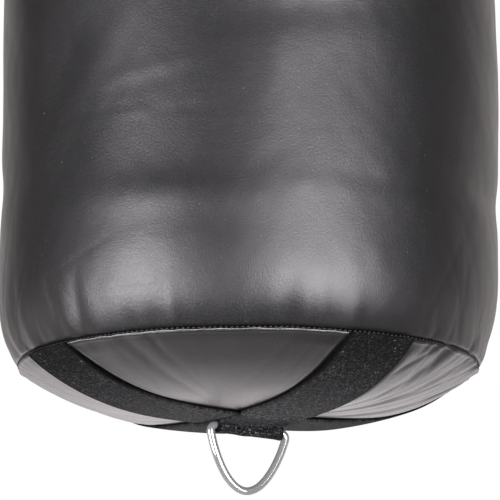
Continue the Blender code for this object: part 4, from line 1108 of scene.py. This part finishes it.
def hanger_stitches(name, turn):
    """A sewn box with a cross, and a row of stitches over it, on the patch of a hanger."""
    sizes = bpy.context.scene.bag_sizes
    low, high, wide = -0.145, -0.098, 0.0205
    corners = ((-wide, low), (wide, low), (wide, high), (-wide, high), (-wide, low), (wide, high), (-wide, high),
               (wide, low))
    lines = [np.array(corners)]
    lines += [np.array([(-wide, level), (wide, level)]) for level in (-0.040, -0.036)]
    lines += [stacked(edge, np.linspace(-0.094, -0.014, 20)) for edge in (-0.0225, 0.0225)]
    stand = 2 * STRAP_GAP + 2 * sizes.webbing_wall

    def on_patch(flat):
        out = side_radius(-flat[:, 1]) + stand + 0.0001
        return stacked(np.sqrt(out ** 2 - flat[:, 0] ** 2), flat[:, 0], flat[:, 1])

    middle, ahead = (np.concatenate(part) for part in zip(*(dashes(line, sizes.stitch_pitch) for line in lines)))
    places, ends = on_patch(middle), on_patch(middle + ahead)
    out = unit(places * (1.0, 1.0, 0.0))
    axes = stitch_axes(placed(ends - places, turn, 0.0), placed(out, turn, 0.0))
    return repeated(name, capsule(sizes.stitch_pitch * 0.72, 0.00045), placed(places, turn, TOP), axes)


def crown_level(radius):
    """Height of the top panel at a radius, over its seam."""
    return CROWN_RISE * (1.0 - (np.minimum(radius, seam_radius()) / seam_radius()) ** 10)


def top_points():
    """The top panel: its folded edge, its crowned face in to the slit, and its inner face back.

    A point goes straight from the seam's circle to the slit, |x / 0.104|^2 + |y / 0.0045|^5.7 = 1, and stands
    at rise * (1 - (radius / seam radius)^10), with soft waves and gathers at the seam.
    """
    sizes = bpy.context.scene.bag_sizes
    seam = seam_radius()
    turn = full_turn(360)[None, :]
    slit_x, slit_y = SLIT_X * np.cos(turn), SLIT_Y * np.sign(np.sin(turn)) * np.abs(np.sin(turn)) ** 0.35
    share = runs((0.0, 0.15, 22), (0.15, 0.94, 34), (0.94, 1.0, 8))

    def surface(part, drop):
        part = part[:, None]
        x = seam * np.cos(turn) * (1.0 - part) + slit_x * part
        y = seam * np.sin(turn) * (1.0 - part) + slit_y * part
        radius = np.hypot(x, y)
        level = crown_level(radius)
        soft = 0.0006 * waves(turn, 31, 2, 7) * np.sin(math.pi * part) ** 2
        gathers = -0.0008 * pleats(wrap(turn), seam - radius, 32, 60, 0.034, 0.020) * ease(part, 0.0, 0.01)
        return stacked(x, y, TOP + level + soft + gathers * ease(1.0 - part, 0.1, 0.4) - drop)

    face = surface(share, 0.0)
    edge = seam * share[:, None]
    face[..., 2] += 0.0010 + 0.0008 * hump(edge - 0.0016, 0.0018) - 0.0012 * hump(edge, 0.0010)
    face[-1, :, 2] -= 0.0004
    flange = stacked((seam - FLANGE) * np.cos(turn), (seam - FLANGE) * np.sin(turn), TOP + 0.0008)
    back = surface(np.array([0.999, 0.7, 0.4, 0.12]), sizes.wall)
    back[..., 2] += 0.0010
    return np.concatenate([flange, face, back], 0)


def zip_box(name):
    """Low and high corners of a piece of the zip, its middle and its half sizes."""
    low, high = (np.array(corner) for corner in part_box(name))
    return low, high, (low + high) / 2, (high - low) / 2


def tooth():
    """A zip's tooth, from its foot on the tape at y = 0 to its rounded head: a few flat sides."""
    outline = np.array([(-0.0006, 0.0), (-0.0006, 0.0022), (-0.0009, 0.0030), (-0.0006, 0.0038), (0.0006, 0.0038),
                        (0.0009, 0.0030), (0.0006, 0.0022), (0.0006, 0.0)])
    count = len(outline)
    small = outline * 0.8 + (0.0, 0.0002)
    rows = ((small, -0.00125), (outline, -0.0009), (outline, 0.0009), (small, 0.00125))
    points = np.concatenate([np.c_[row, np.full(count, z)] for row, z in rows])
    i, j = np.meshgrid(np.arange(3), np.arange(count), indexing="ij")
    a, b = i * count + j, i * count + (j + 1) % count
    sides = np.concatenate([stacked(a, b, b + count), stacked(a, b + count, a + count)]).reshape(-1, 3)
    fan = np.arange(1, count - 1)
    low = stacked(0 * fan, fan + 1, fan)
    high = stacked(0 * fan, fan, fan + 1) + 3 * count
    return points, np.concatenate([sides, low, high])


class BAG_OT_top_panel(Operator):
    """Make the top panel with its zip"""

    bl_idname = "bag.top_panel"
    bl_label = "Top Panel and Zip"

    def execute(self, context):
        add_panel("top", top_points(), "top_panel")
        self.sew_slit(context)
        self.add_tapes()
        self.add_slider()
        return {"FINISHED"}

    def sew_slit(self, context):
        """A row of stitches round the slit, through the panel and the tapes."""
        pitch = context.scene.bag_sizes.stitch_pitch
        line = rounded(0.110, 0.0105, 12.0, 400)
        middle, ahead = dashes(np.concatenate([line, line[:1]]), pitch)
        radius = np.hypot(middle[:, 0], middle[:, 1])
        level = TOP + crown_level(radius) + 0.0011 - 0.00044 * (np.abs(middle[:, 1]) < 0.0068)
        out = np.tile((0.0, 0.0, 1.0), (len(middle), 1))
        mesh = repeated("slit_stitches", capsule(pitch * 0.72, 0.0004), np.c_[middle, level],
                        stitch_axes(np.c_[ahead, np.zeros(len(ahead))], out))
        add_stitches("slit_stitches", mesh)

    def add_tapes(self):
        """Tapes, teeth and end stops."""
        for side in ("left", "right"):
            low, high, middle, half = zip_box(f"zip_tape_{side}")
            y = middle[1] + edge_shares(15, 2 * half[1], 0.001)[None, :] * half[1]
            base = stacked(np.linspace(low[0], high[0], 60)[:, None], y, low[2])
            normal = np.tile((0.0, 0.0, 1.0), (*base.shape[:2], 1))
            mesh = strap_mesh(f"tape_{side}", base, normal, 2 * half[2], 2 * half[1])
            add_piece(f"tape_{side}", mesh, "webbing", f"zip_tape_{side}")
            low, high, middle, half = zip_box(f"zip_teeth_{side}")
            sign = 1.0 if high[1] > 0 else -1.0
            shift = 0.0 if sign > 0 else 0.00125
            x = np.arange(low[0] + 0.001 + shift, high[0] - 0.001, 0.0025)
            places = stacked(x, middle[1] + sign * half[1], middle[2])
            axes = np.tile(np.array([[sign, 0.0, 0.0], [0.0, -sign, 0.0], [0.0, 0.0, -1.0]]), (len(x), 1, 1))
            mesh = repeated(f"teeth_{side}", tooth(), places, axes)
            add_piece(f"teeth_{side}", mesh, "zip_metal", f"zip_teeth_{side}", smooth=30.0)
        for end in ("open", "closed"):
            low, high, middle, half = zip_box(f"zip_stop_{end}_end")
            outline = rounded(half[0], half[1], 6.0, 40, middle[:2])
            mesh = slab(f"stop_{end}", outline, bevelled(low[2], high[2], 0.0004))
            add_piece(f"stop_{end}", mesh, "zip_metal", f"zip_stop_{end}_end", smooth=50.0)

    def add_slider(self):
        """The slider with its bridge, and the pull tab that hangs from it."""
        low, high, middle, half = zip_box("zip_slider")
        roof = high[2] - 0.0042
        nose = rounded(half[0], half[1], 3.4, 64, middle[:2])
        nose[:, 1] *= 1.0 - 0.25 * ease(nose[:, 0] - middle[0], 0.0, half[0])
        for name, foot, top in (("slider_roof", roof - 0.0015, roof), ("slider_floor", low[2], low[2] + 0.0015)):
            layers = [(-0.0005, foot), (-0.0001, foot + 0.0002), (0.0, foot + 0.0005), (0.0, top - 0.0005),
                      (-0.0001, top - 0.0002), (-0.0005, top)]
            node = "zip_slider" if name == "slider_roof" else None
            add_piece(name, slab(name, nose, layers), "zip_metal", node, "slider", smooth=50.0)
        neck = rounded(0.0032, 0.00048, 4.0, 32, middle[:2])
        neck_layers = [(0.0, low[2] + 0.0012), (0.0, roof - 0.0012)]
        add_piece("slider_neck", slab("slider_neck", neck, neck_layers), "zip_metal", body="slider", smooth=60.0)
        outer = rounded(half[0] - 0.0015, 0.0042 / 2 + 0.0006, 4.0, 64, (0.0, 0.0015))
        inner = rounded(half[0] - 0.0027, 0.0015, 4.0, 64, (0.0, 0.0015))
        mesh = slab("slider_bridge", outer, bevelled(-0.0012, 0.0012, 0.0002), inner)
        mesh.transform(Matrix.Translation((middle[0], 0.0, roof)) @ Matrix.Rotation(math.pi / 2, 4, "X"))
        add_piece("slider_bridge", mesh, "zip_metal", body="slider", smooth=50.0)
        low, high, middle, half = zip_box("zip_pull")
        layers = bevelled(low[2], high[2], 0.0003)
        tab = rounded(half[0], half[1], 3.6, 72, middle[:2])
        window = rounded(0.00325, 0.002, 5.0, 72, (high[0] - 0.0016 - 0.00325, middle[1]))
        add_piece("pull", slab("pull", tab, layers, window), "zip_metal", "zip_pull", "pull_tab", smooth=50.0)


class BAG_OT_hangers(Operator):
    """Make the four hanger straps and their D-rings"""

    bl_idname = "bag.hangers"
    bl_label = "Hangers"

    def execute(self, context):
        sizes = context.scene.bag_sizes
        base, normal = hanger_points()
        outline = ring_outline(sizes.ring_wire)
        for number in range(1, 5):
            turn = math.radians(90.0 * number - 45.0)
            name = f"hanger_{number}"
            turned_normal = placed(normal, turn, 0.0)
            mesh = strap_mesh(name, placed(base, turn, TOP), turned_normal, sizes.webbing_wall, HANGER_WIDTH)
            add_piece(name, mesh, "webbing", f"hanger_strap_{number}")
            add_stitches(f"{name}_stitches", hanger_stitches(f"{name}_stitches", turn))
            node = f"top_d_ring_{number}"
            mesh = bent_wire(f"ring_{number}", outline, fitted(node, outline, sizes.ring_wire), sizes.ring_wire)
            add_piece(f"ring_{number}", mesh, "bright_steel", node)
        return {"FINISHED"}


class BAG_OT_chains(Operator):
    """Make the chain links, the S-hooks and the master ring"""

    bl_idname = "bag.chains"
    bl_label = "Chains"

    def execute(self, context):
        link, hook = link_outline(), hook_outline()
        for leg in range(1, 5):
            for number in range(1, 5):
                node = f"chain_{leg}_link_{number}"
                mesh = bent_wire(f"link_{leg}_{number}", link, fitted(node, link, LINK_WIRE), LINK_WIRE, sides=16)
                add_piece(f"link_{leg}_{number}", mesh, "zinc_steel", node)
            node = f"s_hook_{leg}"
            place = fitted(node, hook, HOOK_WIRE)
            mesh = bent_wire(f"hook_{leg}", hook, place, HOOK_WIRE, closed=False, sides=16)
            add_piece(f"hook_{leg}", mesh, "zinc_steel", node, smooth=60.0)
        low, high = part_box("master_ring")
        mesh = round_ring("top_ring", (low + high) / 2, (high.x - low.x - MASTER_WIRE) / 2, "X", MASTER_WIRE, 96)
        add_piece("top_ring", mesh, "bright_steel", "master_ring")
        return {"FINISHED"}


def barrel_profile(low, high):
    """The barrel's section: a rounded wall with two grooves, and the bore and cavity of the CAD node inside."""
    radius, bore, cavity, roof = high.x, 0.0043, 0.0090, high.z - 0.005
    corner, depth = 0.0016, 0.0006
    profile = [(bore, high.z), (radius - corner - 0.0004, high.z)]
    profile += [tuple(row) for row in arc((radius - corner, high.z - corner), corner, math.pi / 2, 0.0, 6)]
    groove = ((0.0, 0.0011), (0.3, 0.0008), (1.0, 0.0004), (1.0, -0.0004), (0.3, -0.0008), (0.0, -0.0011))
    for level in (high.z - 0.0058, low.z + 0.0058):
        profile += [(radius - depth * share, level + rise) for share, rise in groove]
    profile += [tuple(row) for row in arc((radius - corner, low.z + corner), corner, 0.0, -math.pi / 2, 6)]
    return profile + [(radius - corner - 0.0004, low.z), (cavity, low.z), (cavity, roof), (bore, roof)]


def smooth_copy(name, node):
    """A CAD node's own mesh with its loose triangles joined, so that its round faces can be shaded round."""
    mesh = frame["nodes"][node].data.copy()
    mesh.name = name
    mesh.materials.clear()
    joined = bmesh.new()
    joined.from_mesh(mesh)
    bmesh.ops.remove_doubles(joined, verts=joined.verts, dist=0.000002)
    joined.to_mesh(mesh)
    joined.free()
    return mesh


class BAG_OT_swivel(Operator):
    """Make the swivel and the carabiner above the master ring"""

    bl_idname = "bag.swivel"
    bl_label = "Swivel and Carabiner"

    def execute(self, context):
        low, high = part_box("swivel_barrel")
        foot = low.z
        mesh = turned_piece("barrel", barrel_profile(low, high), loop=True)
        add_piece("barrel", mesh, "bright_steel", "swivel_barrel", "swivel_lower", smooth=40.0)
        reach = EYE_RADIUS + EYE_WIRE / 2
        low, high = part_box("swivel_upper_eye")
        top, bottom = high.z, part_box("swivel_lower_eye")[0].z
        for side, middle in (("upper", top - reach), ("lower", bottom + reach)):
            mesh = round_ring(f"{side}_eye", (0.0, 0.0, middle), EYE_RADIUS, "Y", EYE_WIRE, 64)
            add_piece(f"{side}_eye", mesh, "bright_steel", f"swivel_{side}_eye", f"swivel_{side}")
        root = top - 2 * reach
        collar = low.z + 0.005
        fillet = ((0.0, 0.0040), (0.0030, 0.0040), (0.0060, 0.0018), (0.0056, 0.0006), (0.0047, -0.0004),
                  (0.0041, -0.0012), (0.0040, -0.0018))
        profile = [(radius, root + rise) for radius, rise in fillet]
        profile += [(0.0040, collar), (0.0075, collar), (0.0075, low.z), (0.0, low.z)]
        add_piece("upper_stud", turned_piece("upper_stud", profile), "bright_steel", body="swivel_upper", smooth=50.0)
        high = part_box("swivel_lower_eye")[1]
        boss = ((0.0087, 0.0002), (0.0080, 0.0005), (0.0066, 0.0010), (0.0058, 0.0020), (0.0050, 0.0038),
                (0.0, 0.0046))
        profile = [(0.0, high.z), (0.0087, high.z), *((radius, foot - drop) for radius, drop in boss)]
        add_piece("lower_plug", turned_piece("lower_plug", profile), "bright_steel", body="swivel_lower", smooth=50.0)
        for node, body in (("carabiner_body", "hanger_hook"), ("carabiner_gate", "gate")):
            name = f"{node}_smooth"
            add_piece(name, smooth_copy(name, node), "bright_steel", node, body, smooth=50.0)
        return {"FINISHED"}


class BAG_OT_cover(Operator):
    """Make the stuffed cover with the stitches of its two seams"""

    bl_idname = "bag.cover"
    bl_label = "Cover"

    def execute(self, context):
        add_panel("cover", cover_points(), "body_cover")
        add_piece("jacket", closed_tube("jacket", jacket_points()), "foam", "foam_jacket", smooth=60.0)
        for name, level, sign in (("bottom_seam_stitches", BOTTOM, -1.0), ("top_seam_stitches", TOP, 1.0)):
            add_stitches(name, seam_stitches(name, level, sign))
        return {"FINISHED"}


def painted_highlight_cord_points():
    """A pale cord under the bottom seam that paints the highlight of its folded edge: a thin wavering cord, thickest
    at the front, that goes under the straps.
    """
    sizes = bpy.context.scene.bag_sizes
    seam = seam_radius()
    angle = full_turn(900, -math.pi)
    turn = angle + FRONT
    x, y = seam * np.cos(turn), seam * np.sin(turn)
    off = np.minimum(np.abs(x), np.abs(y)) - sizes.webbing_width / 2
    # painted highlight: the pale cord is thickest at the front, and thinner and sunk under the straps
    shown = ease(off, -0.004, 0.001) * (0.25 + 0.75 * (np.abs(angle + 0.14) < 0.80))
    waver = 0.00022 * waves(angle, 41, 40, 90)
    size = 0.00014 * (0.75 + 0.5 * np.tanh(waves(angle, 42, 30, 70))) * shown + 0.00004
    radius = seam - 0.0002 + 0.3 * waver - 0.003 * (1.0 - shown)
    level = BOTTOM + seam_wander(angle) - 0.00115 + waver
    round_wire = full_turn(6)
    out = radius[:, None] + size[:, None] * np.cos(round_wire)
    return around_bag(angle[:, None], out, level[:, None] + size[:, None] * np.sin(round_wire))


class BAG_OT_bottom_panel(Operator):
    """Make the domed bottom panel with the pale cord that paints a highlight under its seam"""

    bl_idname = "bag.bottom_panel"
    bl_label = "Bottom Panel"

    def execute(self, context):
        add_panel("bottom", dome_points(), "bottom_panel")
        add_piece("cut_edge", closed_tube("cut_edge", painted_highlight_cord_points()), "cover", key="backing_cloth")
        return {"FINISHED"}


class BAG_OT_bottom_straps(Operator):
    """Make the two straps across the bottom"""

    bl_idname = "bag.bottom_straps"
    bl_label = "Bottom Straps"

    def execute(self, context):
        sizes = context.scene.bag_sizes
        for name, node, make in (("inner_strap", "bottom_strap_inner", inner_strap_points),
                                 ("outer_strap", "bottom_strap_outer", outer_strap_points)):
            base, normal = make()
            mesh = strap_mesh(name, base, normal, sizes.webbing_wall, sizes.webbing_width)
            add_piece(name, mesh, "webbing", node)
        return {"FINISHED"}


class BAG_OT_bottom_ring(Operator):
    """Make the D-ring under the bag"""

    bl_idname = "bag.bottom_ring"
    bl_label = "Bottom Ring"

    def execute(self, context):
        wire = context.scene.bag_sizes.ring_wire
        place = (Matrix.Translation((0.0, 0.0, BOTTOM - ring_depth())) @ Matrix.Rotation(RING_TURN, 4, "Z")
                 @ Matrix.Rotation(RING_LEAN, 4, "Y") @ Matrix.Rotation(math.pi / 2, 4, "X"))
        mesh = bent_wire("tether_ring", ring_outline(wire), place, wire, sides=28)
        add_piece("tether_ring", mesh, "bright_steel", "bottom_d_ring", "tether_ring")
        return {"FINISHED"}


class BAG_OT_hidden(Operator):
    """Give every CAD piece that stays its finish"""

    bl_idname = "bag.hidden"
    bl_label = "CAD Pieces"

    def execute(self, context):
        for part in frame["record"]["subparts"]:
            materials = frame["nodes"][part["node"]].data.materials
            materials.clear()
            materials.append(finish_for(part["material_slot"]))
        return {"FINISHED"}


def area_lamp(name, place, aim, size, power):
    """A soft rectangular lamp that points at a place and lights the bag without showing."""
    data = bpy.data.lights.new(name, "AREA")
    data.shape = "RECTANGLE"
    data.size, data.size_y = size
    data.energy = power
    data.color = (1.0, 0.965, 1.01)
    lamp = bpy.data.objects.new(name, data)
    lamp.location = place
    lamp.rotation_euler = (Vector(aim) - Vector(place)).to_track_quat("-Z", "Y").to_euler()
    lamp.visible_camera = False
    bpy.context.scene.collection.objects.link(lamp)


def from_front(angle, distance, height):
    """A place round the bag, at degrees to the right of the camera's side."""
    turn = math.radians(angle) + FRONT
    return Vector((distance * math.cos(turn), distance * math.sin(turn), height))


def make_world():
    """A white surround for the camera and for mirrors that look away from it, and plain light for the rest."""
    world = bpy.data.worlds.new("studio")
    bpy.context.scene.world = world
    world.use_nodes = True
    world.node_tree.nodes.clear()
    nodes = Nodes(world.node_tree)
    where = nodes.node("ShaderNodeTexCoord", output="Generated")
    strength = nodes.dot(where, from_front(171.0, 1.0, 0.0)).between(0.45, 0.85, 0.07, 1.0)
    white = nodes.node("ShaderNodeBackground", {}, {"Color": (1.0, 1.0, 1.0), "Strength": 1.0})
    mirrored = nodes.node("ShaderNodeBackground", {}, {"Color": (1.0, 0.93, 0.925), "Strength": strength})
    lit = nodes.mix(nodes.ray("Is Glossy Ray"), white, mirrored)
    shown = nodes.mix(nodes.ray("Is Camera Ray"), lit, white)
    nodes.node("ShaderNodeOutputWorld", {}, {"Surface": shown}, None)


def make_floor(paint):
    """A pale floor under the bag, clear when it is looked at from below, with a glow that only mirrors see."""
    side = np.linspace(-FLOOR_REACH, FLOOR_REACH, 9)
    x, y = np.meshgrid(side, side, indexing="ij")
    mesh = grid("floor", stacked(x, y, FLOOR_LEVEL), side, side, close_columns=False)
    if mesh.polygons[0].normal.z < 0:
        mesh.flip_normals()
    finish = Finish("floor_paint", base_color=paint, roughness=0.9)
    where = finish.place()
    behind = finish.dot(where, from_front(180.0, 1.0, 0.0))
    across = finish.dot(where, from_front(90.0, 1.0, 0.0)).math("ABSOLUTE")
    glow = behind.between(-0.6, 1.8) * (1.75 - across.between(0.3, 1.8) * 0.85) + 0.02
    mirrored = finish.node("ShaderNodeEmission", {}, {"Color": (1.0, 0.93, 0.935), "Strength": glow})
    painted = finish.mix(finish.ray("Is Glossy Ray"), Value(finish, finish.shader.outputs[0]), mirrored)
    under = finish.node("ShaderNodeNewGeometry", output="Backfacing")
    shown = finish.mix(under, painted, finish.node("ShaderNodeBsdfTransparent"))
    finish.put(finish.tree.nodes["Material Output"].inputs["Surface"], shown)
    mesh.materials.append(finish.material)
    floor = bpy.data.objects.new("floor", mesh)
    bpy.context.scene.collection.objects.link(floor)


def make_camera():
    """The photograph's view: the bottom seam from a little below."""
    out = from_front(0.0, math.cos(CAMERA_RISE), math.sin(CAMERA_RISE))
    data = bpy.data.cameras.new("camera")
    data.sensor_width = 36.0
    data.lens = PHOTO_DISTANCE / PHOTO_WIDTH * data.sensor_width
    camera = bpy.data.objects.new("camera", data)
    camera.location = Vector((0.0, 0.0, BOTTOM)) + out * CAMERA_DISTANCE
    pitch, yaw = math.atan(SEAM_BELOW / PHOTO_DISTANCE), math.atan(SEAM_LEFT / PHOTO_DISTANCE)
    right = Vector((0.0, 0.0, 1.0)).cross(out).normalized()
    aim = Matrix.Rotation(-yaw, 3, "Z") @ Matrix.Rotation(pitch, 3, right) @ -out
    camera.rotation_mode = "QUATERNION"
    camera.rotation_quaternion = aim.to_track_quat("-Z", "Y")
    bpy.context.scene.collection.objects.link(camera)
    bpy.context.scene.camera = camera


class BAG_OT_studio(Operator):
    """Make the floor, the surround, the lamps and the camera"""

    bl_idname = "bag.studio"
    bl_label = "Studio"

    def execute(self, context):
        colours = context.scene.bag_colours
        context.scene.view_settings.view_transform = "Standard"
        make_world()
        make_floor(colours.floor)
        aim = (0.0, 0.0, BOTTOM + 0.1)
        area_lamp("left_lamp", from_front(-50.0, 2.0, BOTTOM - 0.27), aim, (1.3, 1.0), colours.left_lamp)
        area_lamp("right_lamp", from_front(29.0, 2.0, BOTTOM - 0.14), aim, (1.35, 1.02), colours.right_lamp)
        area_lamp("back_lamp", from_front(180.0, 1.3, BOTTOM - 0.8), aim, (2.4, 1.4), colours.back_lamp)
        make_camera()
        return {"FINISHED"}


class BAG_PT_panel(Panel):
    """Lists the pieces of the bag and its studio"""

    bl_idname = "BAG_PT_panel"
    bl_label = "Punching Bag"
    bl_space_type = "VIEW_3D"
    bl_region_type = "UI"
    bl_category = "Punching Bag"

    def draw(self, context):
        for group in (context.scene.bag_sizes, context.scene.bag_colours):
            for name in group.__annotations__:
                self.layout.prop(group, name)
        for operator in OPERATORS:
            self.layout.operator(operator.bl_idname)


OPERATORS = (BAG_OT_hidden, BAG_OT_cover, BAG_OT_bottom_panel, BAG_OT_bottom_straps, BAG_OT_bottom_ring,
             BAG_OT_top_panel, BAG_OT_hangers, BAG_OT_chains, BAG_OT_swivel, BAG_OT_studio)
CLASSES = (BagSizes, BagColours, *OPERATORS, BAG_PT_panel)


def register():
    for item in CLASSES:
        bpy.utils.register_class(item)
    bpy.types.Scene.bag_sizes = PointerProperty(type=BagSizes)
    bpy.types.Scene.bag_colours = PointerProperty(type=BagColours)


def unregister():
    del bpy.types.Scene.bag_sizes
    del bpy.types.Scene.bag_colours
    for item in reversed(CLASSES):
        bpy.utils.unregister_class(item)


def main():
    """Make every piece."""
    register()
    bpy.ops.bag.hidden()
    bpy.ops.bag.cover()
    bpy.ops.bag.bottom_panel()
    bpy.ops.bag.bottom_straps()
    bpy.ops.bag.bottom_ring()
    bpy.ops.bag.top_panel()
    bpy.ops.bag.hangers()
    bpy.ops.bag.chains()
    bpy.ops.bag.swivel()
    bpy.ops.bag.studio()


if __name__ == "__main__":
    main()
